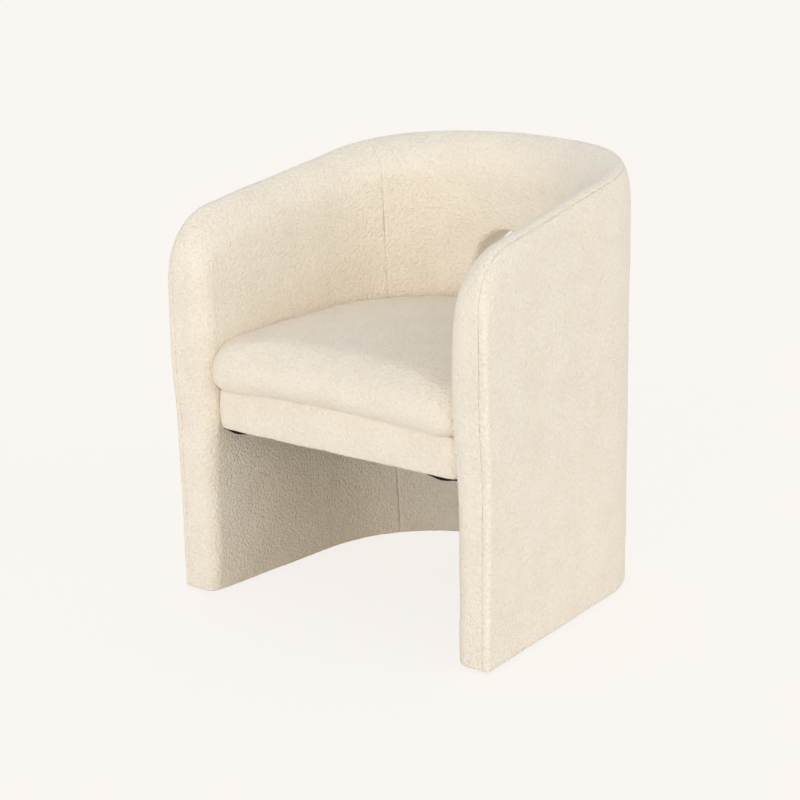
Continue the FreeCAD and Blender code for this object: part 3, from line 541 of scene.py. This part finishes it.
def opening_line(half, top, arch):
    """Points round the opening and the directions out of it, in order of their angle about its middle."""
    corners = [
        round_corner(half - arch, top - arch, arch, 0),
        round_corner(arch - half, top - arch, arch, 90),
        round_corner(HOLE_CORNER - half, HOLE_LOW + HOLE_CORNER, HOLE_CORNER, 180),
        round_corner(half - HOLE_CORNER, HOLE_LOW + HOLE_CORNER, HOLE_CORNER, 270),
    ]
    point = np.vstack([corner[0] for corner in corners])
    normal = np.vstack([corner[1] for corner in corners])
    angle = np.arctan2(point[:, 1] - HOLE_MIDDLE, point[:, 0])
    order = np.argsort(angle)
    return angle[order], point[order], normal[order]


def opening_edge(angle, outline):
    """Point and outward direction of the opening's line at each angle about its middle."""
    known, point, normal = opening_line(**outline)
    answers = [np.interp(angle, known, column, period=2 * math.pi) for column in (*point.T, *normal.T)]
    direction = np.stack(answers[2:], axis=-1)
    return np.stack(answers[:2], axis=-1), direction / np.linalg.norm(direction, axis=1, keepdims=True)


def inner_face_y(x):
    return INNER_Y + np.sqrt(INNER_RADIUS ** 2 - x ** 2)


def outer_face_y(x):
    return OUTER_BACK_Y + np.sqrt(OUTER_BACK_RADIUS ** 2 - x ** 2)


def opening_roll(angle, face_y, outline, edge, inward, turns):
    """Rows that roll from the face of the wall into the opening."""
    line, direction = opening_edge(angle, outline)
    rows = []
    for turn in turns:
        flat = line + edge * (1 - math.sin(turn)) * direction
        deep = face_y(flat[:, 0]) + inward * edge * (1 - math.cos(turn))
        rows.append(np.c_[flat[:, 0], deep, flat[:, 1]])
    return rows


def opening_frame(points, columns, rows):
    """The loop of grid points round the block of faces that the opening takes out, closed on itself."""
    first, last = columns.start, columns.stop
    low, high = rows.start, rows.stop
    loop = np.vstack([
        points[first:last, low], points[last, low:high],
        points[last:first:-1, high], points[first, high:low:-1],
    ])
    return np.vstack([loop, loop[:1]])


def opening_patch(points, face_y, outline, edge, inward, last_turn, reach):
    """The patch between the face and the opening, and the block of faces that it takes the place of."""
    near = np.flatnonzero((np.abs(points[:, 0, 0]) < reach) & (points[:, 0, 1] > 0))
    columns = slice(near[0], near[-1])
    middle = (near[0] + near[-1]) // 2
    tall = np.flatnonzero(np.abs(points[middle, :, 2] - HOLE_MIDDLE) < reach - PATCH_TRIM)
    rows = slice(tall[0], tall[-1])
    loop = opening_frame(points, columns, rows)
    angle = np.arctan2(loop[:, 2] - HOLE_MIDDLE, loop[:, 0])
    roll = opening_roll(angle, face_y, outline, edge, inward, np.linspace(0, last_turn, ROLL_ROWS))
    patch = [loop]
    for share in np.linspace(0, 1, PATCH_ROWS)[1:-1]:
        flat = loop + share * (roll[0] - loop)
        flat[:, 1] = face_y(flat[:, 0])
        patch.append(flat)
    return np.stack(patch + roll), (columns, rows), angle


OUTSIDE_PATCH = 0.088
path, height, share = face_grid(rim_path, 0)
outer_face = wall_points(path, share, height)
outer_turn = np.linspace(0, math.pi / 2, 10)
outer_depth = np.broadcast_to(EDGE_SEAM * (1 - np.cos(outer_turn)), (len(rolled), len(outer_turn)))
path, height, share = lip_grid(rim_path, outer_depth)
outer_lip = wall_points(path, share, height)
outer_opening, outer_gap, _ = opening_patch(
    outer_face, outer_face_y, HOLE_OUTSIDE, HOLE_ROUND_OUT, -1, math.pi / 2, OUTSIDE_PATCH)
outer_chain = np.vstack([outer_lip[0, ::-1], outer_face[1:-1, 0], outer_lip[-1]])
outside_mesh = sewn_mesh("outside_cover", [
    (outer_face, outer_gap), (outer_lip, None), (outer_opening, None), (turned_under(outer_chain), None),
], (0, 1, 0))
uneven_filling(outside_mesh, swell=0.0012, swell_width=0.11, nap=0.0004, nap_width=0.009)
boucle = looped_cloth("boucle")
COVER_CLOTH = 0.002
outside_cover = cloth_piece("outside_cover", outside_mesh, boucle, COVER_CLOTH)
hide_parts("cover_outside")


# Inside covers: a left arm, a back and a right arm panel of the same cloth over thick foam.
# They are sewn together on two leaning seams, roll over the rim to the seam of the outside cover, and are
# turned under the base and stapled.
INSIDE_SEAM_DEPTH = 0.0011
SEAM_SPREAD = 0.12
SEAM_LEAN_LOW = INNER_RADIUS * math.radians(-0.8)
SEAM_LEAN_TOP = INNER_RADIUS * math.radians(-6.2)
SEAM_ROWS = (0, 0.0008, 0.0016, 0.0026, 0.0040)
INSIDE_PATCH = 0.096
INSIDE_ROLL_END = math.radians(60)
lean_share = np.clip(1 - np.abs(rim_path - INSIDE_SEAM) / SEAM_SPREAD, 0, 1)
leaning_rim = rim_path + SEAM_LEAN_TOP * lean_share
in_groove = INSIDE_SEAM_DEPTH * np.exp(-((rim_path - INSIDE_SEAM) / SEAM_WIDTH) ** 2)
before_rim = np.zeros(CORNER_COUNT + 1)
column_sway = np.concatenate([before_rim, (SEAM_LEAN_LOW - SEAM_LEAN_TOP) * lean_share])[:, None]
column_groove = np.concatenate([before_rim, in_groove])[:, None]
path, height, share = face_grid(leaning_rim, 1, column_sway, column_groove)
inner_face = wall_points(path, share, height)
near_seam = EDGE_SEAM + np.array(SEAM_ROWS)
over_rim = np.sin(np.linspace(0.08, math.pi / 2, 24))
inside_thick = edge_thickness(leaning_rim)
roll_depth = np.hstack([
    np.broadcast_to(near_seam, (len(rolled), len(near_seam))),
    near_seam[-1] + (inside_thick - near_seam[-1]) * over_rim,
])
station_groove = np.concatenate([np.zeros(FRONT_COUNT - 1), column_groove[:, 0]])[:, None]
path, height, share = lip_grid(leaning_rim, roll_depth, station_groove * (1 - roll_depth / inside_thick))
share = share - np.concatenate([station_groove, station_groove[-2::-1]]) * share ** 2 / np.concatenate(
    [inside_thick, inside_thick[-2::-1]])
inner_lip = wall_points(path, share, height)
seam_at = int(np.argmin(np.abs(rim_path - INSIDE_SEAM))) + CORNER_COUNT + 1
seam_column = (seam_at, len(inner_face) - 1 - seam_at)
seam_station = [column + FRONT_COUNT - 1 for column in seam_column]
inner_opening, inner_gap, opening_angle = opening_patch(
    inner_face, inner_face_y, HOLE_INSIDE, HOLE_ROUND_IN, 1, INSIDE_ROLL_END, INSIDE_PATCH)
inner_gap = (slice(inner_gap[0].start - seam_column[0], inner_gap[0].stop - seam_column[0]), inner_gap[1])
inside_panels = {
    "right_arm": ((slice(0, seam_column[0] + 1), slice(0, seam_station[0] + 1)), (0, -1, 0)),
    "back": (
        (slice(seam_column[0], seam_column[1] + 1), slice(seam_station[0], seam_station[1] + 1)),
        (0, 0, 1),
    ),
    "left_arm": ((slice(seam_column[1], None), slice(seam_station[1], None)), (0, -1, 0)),
}
for panel, ((columns, stations), toward) in inside_panels.items():
    face = inner_face[columns]
    strip = inner_lip[stations]
    patches = [(face, inner_gap if panel == "back" else None), (strip, None)]
    chain = face[::-1, 0]
    if panel == "right_arm":
        chain = np.vstack([chain[:-1], strip[0, ::-1]])
    if panel == "left_arm":
        chain = np.vstack([strip[-1, :-1], chain])
    patches.append((turned_under(chain), None))
    if panel == "back":
        patches.append((inner_opening, None))
    inside_mesh = sewn_mesh(f"inside_cover_{panel}", patches, toward)
    uneven_filling(inside_mesh, swell=0.0016, swell_width=0.10, nap=0.0004, nap_width=0.009)
    inside_cover = cloth_piece(f"inside_cover_{panel}", inside_mesh, boucle, COVER_CLOTH)
    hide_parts(f"cover_inside_{panel}", f"foam_{panel}")


# Lining of the opening: a band of the same cloth round the tunnel through the back.
# It is sewn to the inside back and to the outside cover.
LINING_FLARE = 2.2
LINING_ROWS = 14
lining_turns = np.linspace(INSIDE_ROLL_END, math.pi / 2, 4)
lining_rows = opening_roll(opening_angle, inner_face_y, HOLE_INSIDE, HOLE_ROUND_IN, 1, lining_turns)
lining_end = opening_roll(opening_angle, outer_face_y, HOLE_OUTSIDE, HOLE_ROUND_OUT, -1, [math.pi / 2])[0]
lining_start = lining_rows[-1]
for share in np.linspace(0, 1, LINING_ROWS)[1:]:
    narrowing = 1 - (1 - share) ** LINING_FLARE
    lining_rows.append(lining_start + (narrowing, share, narrowing) * (lining_end - lining_start))
lining_mesh = sewn_mesh("opening_lining", [(np.stack(lining_rows), None)], (0, 0, -1), faces_out=False)
uneven_filling(lining_mesh, swell=0.0006, swell_width=0.05, nap=0.0004, nap_width=0.009)
opening_lining = cloth_piece("opening_lining", lining_mesh, boucle, COVER_CLOTH)
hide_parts("cutout_lining")


# Bottom cloth: black non-woven cambric, a band that follows the base ring round the chair.
# It is stapled up under the ring, over the turned-in edges of the covers.
cambric = speckled_finish(
    "black_cambric", roughness=0.9, scale=700.0, detail=5.0, limits=(0.35, 0.7),
    tints=((0.010, 0.010, 0.011), (0.035, 0.034, 0.034)), relief=(0.4, 0.0003))
CAMBRIC = 0.0006
BOTTOM_LEVEL = 0.0048
BOTTOM_END = 0.010
BOTTOM_INSET = 0.0105
BOTTOM_INSETS = 0.0310
BOTTOM_WAVE = 0.0004
WAVE_TURNS = 160
BOTTOM_ROWS = 12
bottom_across = np.linspace(0, 1, BOTTOM_ROWS)[None, :]
bottom_path = np.linspace(BOTTOM_END, 2 * HALF - BOTTOM_END, 250)[:, None]
bottom_thick = wall_thickness(bottom_path)
bottom_share = BOTTOM_INSET / bottom_thick + (1 - BOTTOM_INSETS / bottom_thick) * bottom_across
bottom_bow = np.sin(np.linspace(0, math.pi, BOTTOM_ROWS))[None, :]
bottom_height = BOTTOM_LEVEL + BOTTOM_WAVE * np.sin(bottom_path * WAVE_TURNS) * bottom_bow
bottom_points = wall_points(np.broadcast_to(bottom_path, bottom_share.shape), bottom_share, bottom_height)
bottom_mesh = sewn_mesh("bottom_cloth_sheet", [(bottom_points, None)], (0, -1, 0))
if bottom_mesh.polygons[0].normal.z > 0:
    bottom_mesh.flip_normals()
bottom_sheet = cloth_piece("bottom_cloth_sheet", bottom_mesh, cambric, CAMBRIC)
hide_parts("bottom_cloth")


# Seat box: pine rails with a stretcher and two corner blocks, glued and screwed together.
# It hangs between the arms on bolts into the ledgers.
dress(pine_rail, "seat_front_rail", "seat_stretcher", "seat_rear_rail", "corner_blocks")
dress(pine_ledger, "seat_left_rail", "seat_right_rail")


# Webbing: dark ribbed elastic bands under the seat foam, three across and three along.
# They are stretched over the rails of the seat box and stapled.
def woven_band(name, ribs_along):
    finish, nodes, links, shader, place = start_finish(name, 0.7)
    ribs = nodes.new("ShaderNodeTexWave")
    ribs.bands_direction = ribs_along
    ribs.inputs["Scale"].default_value = 160.0
    ribs.inputs["Distortion"].default_value = 1.5
    links.new(place, ribs.inputs["Vector"])
    colour = tint_between(nodes, links, ribs.outputs["Fac"], 0.2, 0.8,
                          (0.05, 0.045, 0.04), (0.15, 0.13, 0.11))
    links.new(colour, shader.inputs["Base Color"])
    raise_surface(nodes, links, shader, ribs.outputs["Fac"], 0.5, 0.0005)
    return finish


dress(woven_band("webbing_cross", "Y"), "webbing_cross")
dress(woven_band("webbing_long", "X"), "webbing_long")


# Fasteners: bolts and washers through the side rails, and threaded inserts in the ledgers, of plated steel.
# They hold the seat box between the arms.
zinc_steel = speckled_finish(
    "zinc_steel", roughness=0.35, scale=260.0, detail=5.0, limits=(0.3, 0.7),
    tints=((0.48, 0.48, 0.50), (0.68, 0.68, 0.70)), relief=(0.1, 0.0002))
zinc_steel.node_tree.nodes["Principled BSDF"].inputs["Metallic"].default_value = 1.0
dress(zinc_steel, "threaded_inserts", "bolt_washers", "seat_bolts")


# Seat cushion: a crowned block of foam in a tight cover of the same cloth, with a full round front.
# It is pulled over the seat box from above, and squeezed in between the arms and the back.
CUSHION_FRONT = -0.290
CUSHION_LOW = 0.360
CUSHION_CROWN = 0.465
CUSHION_GAP = 0.0012
CUSHION_MIDDLE = (0.0, -0.040)
CUSHION_CORNER = 0.030
NOSE_START = -0.235
NOSE_REACH = 0.05
TOP_ROUND = 0.024
TOP_ROUND_MORE = 0.022
UNDER_ROUND = 0.018
UNDER_ROUND_MORE = 0.014
CROWN_DROP = 0.011
CROWN_HALF = (0.235, 0.25)
CROWN_Y = -0.03
LIP_RISE = 0.009
LIP_HALF = 0.245
LIP_START = -0.225
LIP_REACH = 0.05
CUSHION_VOXEL = 0.0047


def cushion_line():
    """The cushion's edge in plan: round front corners, leaning sides and a round back."""
    toe = math.tan(INNER_TOE)
    radius = INNER_RADIUS - CUSHION_GAP
    corner = CUSHION_CORNER
    front_x = INNER_FRONT - CUSHION_GAP - (CUSHION_FRONT + corner - ARM_FRONT) * toe
    turn = np.linspace(-math.pi / 2, 0, 14)
    bend = np.c_[front_x - corner + corner * np.cos(turn), CUSHION_FRONT + corner + corner * np.sin(turn)]
    side_end = (radius * math.cos(INNER_TOE), INNER_Y + radius * math.sin(INNER_TOE))
    side = np.linspace(bend[-1], side_end, 60)[1:]
    rear = np.linspace(INNER_TOE, math.pi / 2, 80)[1:]
    back = np.c_[radius * np.cos(rear), INNER_Y + radius * np.sin(rear)]
    front = np.c_[np.linspace(0, bend[0, 0], 50)[:-1], np.full(49, CUSHION_FRONT)]
    half = np.vstack([front, bend, side, back])
    return np.vstack([half, half[-2:0:-1] * (-1, 1)])


def cushion_points():
    """Rings from the middle of the underside, out over the round edge, to the middle of the top."""
    line = cushion_line()
    middle = np.array(CUSHION_MIDDLE)
    spoke = line - middle
    length = np.linalg.norm(spoke, axis=1)
    frontal = np.clip((NOSE_START - line[:, 1]) / NOSE_REACH, 0, 1)
    frontal = frontal * frontal * (3 - 2 * frontal)
    top_round = TOP_ROUND + TOP_ROUND_MORE * frontal
    low_round = UNDER_ROUND + UNDER_ROUND_MORE * frontal

    def crown(plan):
        across, along = CROWN_HALF
        fall = plan[:, 0] ** 2 / across ** 2 + (plan[:, 1] - CROWN_Y) ** 2 / along ** 2
        return CUSHION_CROWN - CROWN_DROP * fall

    def under(plan):
        rise = LIP_RISE * np.clip(1 - (plan[:, 0] / LIP_HALF) ** 2, 0, 1)
        return CUSHION_LOW + rise * np.clip((LIP_START - plan[:, 1]) / LIP_REACH, 0, 1)

    rings = []
    for share in np.linspace(0.03, 1, 26)[:-1]:
        plan = middle + spoke * (share * (1 - low_round / length))[:, None]
        rings.append(np.c_[plan, under(plan)])
    for turn in np.linspace(0, math.pi / 2, 9):
        plan = middle + spoke * (1 - low_round * (1 - math.sin(turn)) / length)[:, None]
        rings.append(np.c_[plan, under(plan) + low_round * (1 - math.cos(turn))])
    for turn in np.linspace(0, math.pi / 2, 10):
        plan = middle + spoke * (1 - top_round * (1 - math.cos(turn)) / length)[:, None]
        rings.append(np.c_[plan, crown(plan) - top_round * (1 - math.sin(turn))])
    for share in np.linspace(0.03, 1, 26)[-2::-1]:
        plan = middle + spoke * (share * (1 - top_round / length))[:, None]
        rings.append(np.c_[plan, crown(plan)])
    rings = np.stack(rings)
    return np.concatenate([rings, rings[:, :1]], axis=1)


cushion_rings = cushion_points()
cap_low = np.broadcast_to(cushion_rings[0].mean(axis=0), cushion_rings[:1].shape)
cap_top = np.broadcast_to(cushion_rings[-1].mean(axis=0), cushion_rings[:1].shape)
cushion_grid = np.concatenate([cap_low, cushion_rings, cap_top])
cushion_mesh = sewn_mesh("seat_cushion", [(cushion_grid, None)], (0, 0, 1))
seat_cushion = bpy.data.objects.new("seat_cushion", cushion_mesh)
bpy.context.scene.collection.objects.link(seat_cushion)
evening = seat_cushion.modifiers.new("even mesh", "REMESH")
evening.mode = "VOXEL"
evening.voxel_size = CUSHION_VOXEL
bpy.context.view_layer.update()
evened = bpy.data.meshes.new_from_object(seat_cushion.evaluated_get(bpy.context.evaluated_depsgraph_get()))
seat_cushion.modifiers.clear()
seat_cushion.data = evened
evened.name = "seat_cushion_cover"
evened.polygons.foreach_set("use_smooth", [True] * len(evened.polygons))
PRESS_FRAMES = 20
PRESS_LIMIT = 0.005
PRESSURE = 4.0
SMOOTHINGS = 12
SQUEEZE_START = 0.018
SQUEEZE_REACH = 0.012
FREE_FRONT = -0.265
FREE_FADE = 0.03
STAPLED_TOP = CUSHION_LOW + 0.030
STAPLED_FADE = 0.015


def pressed_out(piece):
    """Cloth simulation: the foam presses the cover out, and the box and the walls hold its edges."""
    mesh = piece.data
    start = np.empty(len(mesh.vertices) * 3)
    mesh.vertices.foreach_get("co", start)
    start = start.reshape(-1, 3)
    line = cushion_line()
    gap = np.array([np.min(np.hypot(*(line - point[:2]).T)) for point in start])
    beside = np.clip((SQUEEZE_START - gap) / SQUEEZE_REACH, 0, 1)
    squeezed = beside * np.clip((start[:, 1] - FREE_FRONT) / FREE_FADE, 0, 1)
    stapled = np.clip((STAPLED_TOP - start[:, 2]) / STAPLED_FADE, 0, 1)
    held = piece.vertex_groups.new(name="held")
    for index, weight in enumerate(np.maximum(squeezed, stapled)):
        held.add([index], float(weight), "REPLACE")
    cover = piece.modifiers.new("tight cover", "CLOTH")
    cover.settings.vertex_group_mass = "held"
    cover.settings.use_pressure = True
    cover.settings.uniform_pressure_force = PRESSURE
    cover.settings.effector_weights.gravity = 0.0
    cover.settings.quality = 5
    cover.collision_settings.use_collision = False
    cover.point_cache.frame_start = 1
    cover.point_cache.frame_end = PRESS_FRAMES
    for step in range(1, PRESS_FRAMES + 1):
        bpy.context.scene.frame_set(step)
    end = np.empty(start.size)
    piece.evaluated_get(bpy.context.evaluated_depsgraph_get()).data.vertices.foreach_get("co", end)
    piece.modifiers.clear()
    piece.vertex_groups.clear()
    bpy.context.scene.frame_set(1)
    move = end.reshape(-1, 3) - start
    move *= np.minimum(1, PRESS_LIMIT / np.maximum(np.linalg.norm(move, axis=1, keepdims=True), 1e-9))
    edges = np.empty(len(mesh.edges) * 2, int)
    mesh.edges.foreach_get("vertices", edges)
    first, second = edges.reshape(-1, 2).T
    for _ in range(SMOOTHINGS):
        total = move.copy()
        np.add.at(total, first, move[second])
        np.add.at(total, second, move[first])
        move = total / (1 + np.bincount(edges, minlength=len(start)))[:, None]
    mesh.vertices.foreach_set("co", (start + move).ravel())
    mesh.update()


pressed_out(seat_cushion)
uneven_filling(evened, swell=0.0012, swell_width=0.08, nap=0.0005, nap_width=0.009)
evened.materials.clear()
evened.materials.append(boucle)
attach(seat_cushion, "root")
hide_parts("seat_foam", "seat_cover")


# Apron: a lightly padded band of the same cloth round the front of the seat box.
# It is tucked in under the cushion, and turned under the box and stapled.
APRON_FRONT = -0.268
APRON_LOW = 0.295
APRON_HALF = 0.2498
APRON_CORNER = 0.025
APRON_SIDE = 0.060
APRON_TOP = 0.3625
APRON_RISE = 0.0085
APRON_PADDING = 0.0022
APRON_ROUND = 0.007
APRON_UNDER = 0.016
apron_turn = np.linspace(math.pi, 1.5 * math.pi, 10)
apron_lean = math.tan(INNER_TOE)
apron_side_y = np.linspace(APRON_FRONT + APRON_SIDE, APRON_FRONT + APRON_CORNER, 16)[:-1]
apron_left = np.c_[-APRON_HALF + apron_lean * (apron_side_y - APRON_FRONT - APRON_CORNER), apron_side_y]
apron_bend = np.c_[-APRON_HALF + APRON_CORNER + APRON_CORNER * np.cos(apron_turn),
                   APRON_FRONT + APRON_CORNER + APRON_CORNER * np.sin(apron_turn)]
apron_front = np.c_[np.linspace(apron_bend[-1, 0], 0, 56)[1:], np.full(55, APRON_FRONT)]
apron_half = np.vstack([apron_left, apron_bend, apron_front])
apron_line = np.vstack([apron_half, apron_half[-2::-1] * (-1, 1)])
apron_step = np.gradient(apron_line, axis=0)
apron_step /= np.linalg.norm(apron_step, axis=1, keepdims=True)
apron_out = np.c_[apron_step[:, 1], -apron_step[:, 0]]
apron_top = APRON_TOP + APRON_RISE * np.clip(1 - (apron_line[:, 0] / APRON_HALF) ** 2, 0, 1)
apron_tall = apron_top - APRON_LOW
apron_rows = []
for out, level in ((-0.012, 1.0), (-0.004, 1.0), (-0.0012, 0.985), (0.0, 0.95)):
    apron_rows.append((out, APRON_LOW + level * apron_tall))
for level in np.linspace(0.88, 0.16, 12):
    apron_rows.append((APRON_PADDING * math.sin(math.pi * level), APRON_LOW + level * apron_tall))
for turn in np.linspace(0, math.pi / 2, 6):
    bent = APRON_LOW + APRON_ROUND * (1 - math.sin(turn))
    apron_rows.append((-APRON_ROUND * (1 - math.cos(turn)), bent + 0 * apron_top))
apron_rows.append((-APRON_UNDER, APRON_LOW + 0 * apron_top))
apron_points = np.stack([np.c_[apron_line + apron_out * out, level] for out, level in apron_rows])
apron_mesh = sewn_mesh("seat_apron", [(apron_points, None)], (0, -1, 0))
uneven_filling(apron_mesh, swell=0.0010, swell_width=0.05, nap=0.0006, nap_width=0.007)
seat_apron = cloth_piece("seat_apron", apron_mesh, boucle, COVER_CLOTH)
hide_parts("apron_cover")


# Dust cloth: black cambric that closes the underside of the seat box.
# It is stapled on a little slack, so that it shows below the apron's ends.
DUST_LEVEL = 0.2942
DUST_FRONT = -0.2585
DUST_REAR = 0.205
DUST_REAR_GAP = 0.005
DUST_SIDE_GAP = 0.009
DUST_SLACK = 0.005
DROOP = 0.0055
DROOP_X = 0.212
DROOP_WIDTH = 0.022
DROOP_LENGTH = 0.03
dust_y = np.linspace(DUST_FRONT, DUST_REAR, 100)
dust_radius = INNER_RADIUS - DUST_REAR_GAP
dust_arc = np.sqrt(np.maximum(dust_radius ** 2 - (dust_y - INNER_Y) ** 2, 1e-6))
dust_side = INNER_FRONT - DUST_SIDE_GAP - (dust_y - ARM_FRONT) * apron_lean
dust_half = np.where(dust_y < SIDE_END_Y, dust_side, np.minimum(dust_side, dust_arc))
dust_across = np.linspace(-1, 1, 90)
dust_x = dust_half[:, None] * dust_across[None, :]
dust_depth = np.broadcast_to(dust_y[:, None], dust_x.shape)
slack = DUST_SLACK * (1 - dust_across[None, :] ** 2) * np.sin(np.linspace(0, math.pi, 100))[:, None]
near_end = np.exp(-((np.abs(dust_x) - DROOP_X) / DROOP_WIDTH) ** 2)
droop = DROOP * near_end * np.exp(-((dust_depth - DUST_FRONT) / DROOP_LENGTH) ** 2)
dust_points = np.stack([dust_x, dust_depth, DUST_LEVEL - slack - droop], axis=-1)
dust_mesh = sewn_mesh("dust_cloth", [(dust_points, None)], (0, -1, 0))
if dust_mesh.polygons[0].normal.z > 0:
    dust_mesh.flip_normals()
dust_cloth = cloth_piece("dust_cloth", dust_mesh, cambric, CAMBRIC)
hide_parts("dust_cover")


# Floor: a plain pale studio sweep of matt paper, far larger than the view.
# It shows the colour of the backdrop and keeps the chair's soft shadow.
BACKDROP = (0.956, 0.921, 0.880)


def seen_directly(nodes, links):
    """1 where the camera sees a surface directly, in a mirror or through glass, and 0 for other light."""
    ray = nodes.new("ShaderNodeLightPath")
    first = nodes.new("ShaderNodeMath")
    first.operation = "MAXIMUM"
    links.new(ray.outputs["Is Camera Ray"], first.inputs[0])
    links.new(ray.outputs["Is Glossy Ray"], first.inputs[1])
    second = nodes.new("ShaderNodeMath")
    second.operation = "MAXIMUM"
    links.new(first.outputs["Value"], second.inputs[0])
    links.new(ray.outputs["Is Transmission Ray"], second.inputs[1])
    return second.outputs["Value"]


floor_mesh = bpy.data.meshes.new("studio_floor")
FLOOR_REACH = 60.0
floor_mesh.from_pydata([(-FLOOR_REACH, -FLOOR_REACH, 0), (FLOOR_REACH, -FLOOR_REACH, 0),
                        (FLOOR_REACH, FLOOR_REACH, 0), (-FLOOR_REACH, FLOOR_REACH, 0)], [], [(0, 1, 2, 3)])
studio_floor = bpy.data.objects.new("studio_floor", floor_mesh)
bpy.context.scene.collection.objects.link(studio_floor)
floor_finish = bpy.data.materials.new("studio_floor")
floor_finish.use_nodes = True
nodes = floor_finish.node_tree.nodes
links = floor_finish.node_tree.links
nodes.remove(nodes["Principled BSDF"])
matt = nodes.new("ShaderNodeBsdfDiffuse")
matt.inputs["Color"].default_value = (*BACKDROP, 1)
glow = nodes.new("ShaderNodeEmission")
glow.inputs["Color"].default_value = (*BACKDROP, 1)
SHADOW_SHARE = 0.11
FLOOR_LIGHT = 0.86
glow.inputs["Strength"].default_value = (1 - SHADOW_SHARE * FLOOR_LIGHT) / (1 - SHADOW_SHARE)
part_glow = nodes.new("ShaderNodeMath")
part_glow.operation = "MULTIPLY"
part_glow.inputs[1].default_value = 1 - SHADOW_SHARE
links.new(seen_directly(nodes, links), part_glow.inputs[0])
join = nodes.new("ShaderNodeMixShader")
links.new(part_glow.outputs["Value"], join.inputs["Fac"])
links.new(matt.outputs["BSDF"], join.inputs[1])
links.new(glow.outputs["Emission"], join.inputs[2])
links.new(join.outputs["Shader"], nodes["Material Output"].inputs["Surface"])
floor_mesh.materials.append(floor_finish)


# Light: an even pale room with three wide soft boxes, all low.
# A warm key stands at the camera's shoulder, with a neutral one in front and another on the right.
scene = bpy.context.scene
room = bpy.data.worlds.new("studio_room")
scene.world = room
room.use_nodes = True
nodes = room.node_tree.nodes
links = room.node_tree.links
around = nodes["Background"]
around.inputs["Color"].default_value = (0.94, 0.965, 1.0, 1)
around.inputs["Strength"].default_value = 0.735
backdrop = nodes.new("ShaderNodeBackground")
backdrop.inputs["Color"].default_value = (*BACKDROP, 1)
backdrop.inputs["Strength"].default_value = 1.0
pick = nodes.new("ShaderNodeMixShader")
links.new(seen_directly(nodes, links), pick.inputs["Fac"])
links.new(around.outputs["Background"], pick.inputs[1])
links.new(backdrop.outputs["Background"], pick.inputs[2])
links.new(pick.outputs["Shader"], nodes["World Output"].inputs["Surface"])


def soft_sun(name, turn, rise, power, spread, colour):
    """A far, wide soft box, so large that it lights the whole floor evenly."""
    lamp = bpy.data.lights.new(name, "SUN")
    lamp.energy = power
    lamp.angle = math.radians(spread)
    lamp.color = colour
    box = bpy.data.objects.new(name, lamp)
    scene.collection.objects.link(box)
    turn = math.radians(turn)
    rise = math.radians(rise)
    toward = Vector((math.sin(turn) * math.cos(rise), -math.cos(turn) * math.cos(rise), math.sin(rise)))
    box.rotation_mode = "QUATERNION"
    box.rotation_quaternion = (-toward).to_track_quat("-Z", "Y")


soft_sun("key_box", turn=40, rise=12, power=0.60, spread=50, colour=(1.0, 0.80, 0.46))
soft_sun("side_box", turn=98, rise=20, power=0.62, spread=50, colour=(0.95, 0.98, 1.0))
soft_sun("low_box", turn=4, rise=6, power=0.88, spread=30, colour=(0.98, 1.0, 1.0))
scene.view_settings.view_transform = "Standard"


# Camera: the photograph's view, from above the right arm's front corner.
# A long lens, slightly rolled.
CAMERA_TURN = math.radians(38.16)
CAMERA_DIP = math.radians(16.12)
CAMERA_ROLL = math.radians(-1.0)
CAMERA_PLACE = (1.96569, -2.58968, 1.26134)
level_ahead = Vector((-math.sin(CAMERA_TURN), math.cos(CAMERA_TURN), 0))
right = Vector((math.cos(CAMERA_TURN), math.sin(CAMERA_TURN), 0))
ahead = level_ahead * math.cos(CAMERA_DIP) - Vector((0, 0, math.sin(CAMERA_DIP)))
upward = level_ahead * math.sin(CAMERA_DIP) + Vector((0, 0, math.cos(CAMERA_DIP)))
view_right = right * math.cos(CAMERA_ROLL) + upward * math.sin(CAMERA_ROLL)
view_up = upward * math.cos(CAMERA_ROLL) - right * math.sin(CAMERA_ROLL)
lens = bpy.data.cameras.new("photo_camera")
lens.lens = 90.0
lens.sensor_width = 36.0
lens.clip_end = 200.0
photo_camera = bpy.data.objects.new("photo_camera", lens)
scene.collection.objects.link(photo_camera)
turned = Matrix((view_right, view_up, -ahead)).transposed().to_4x4()
photo_camera.matrix_world = Matrix.Translation(CAMERA_PLACE) @ turned
scene.camera = photo_camera
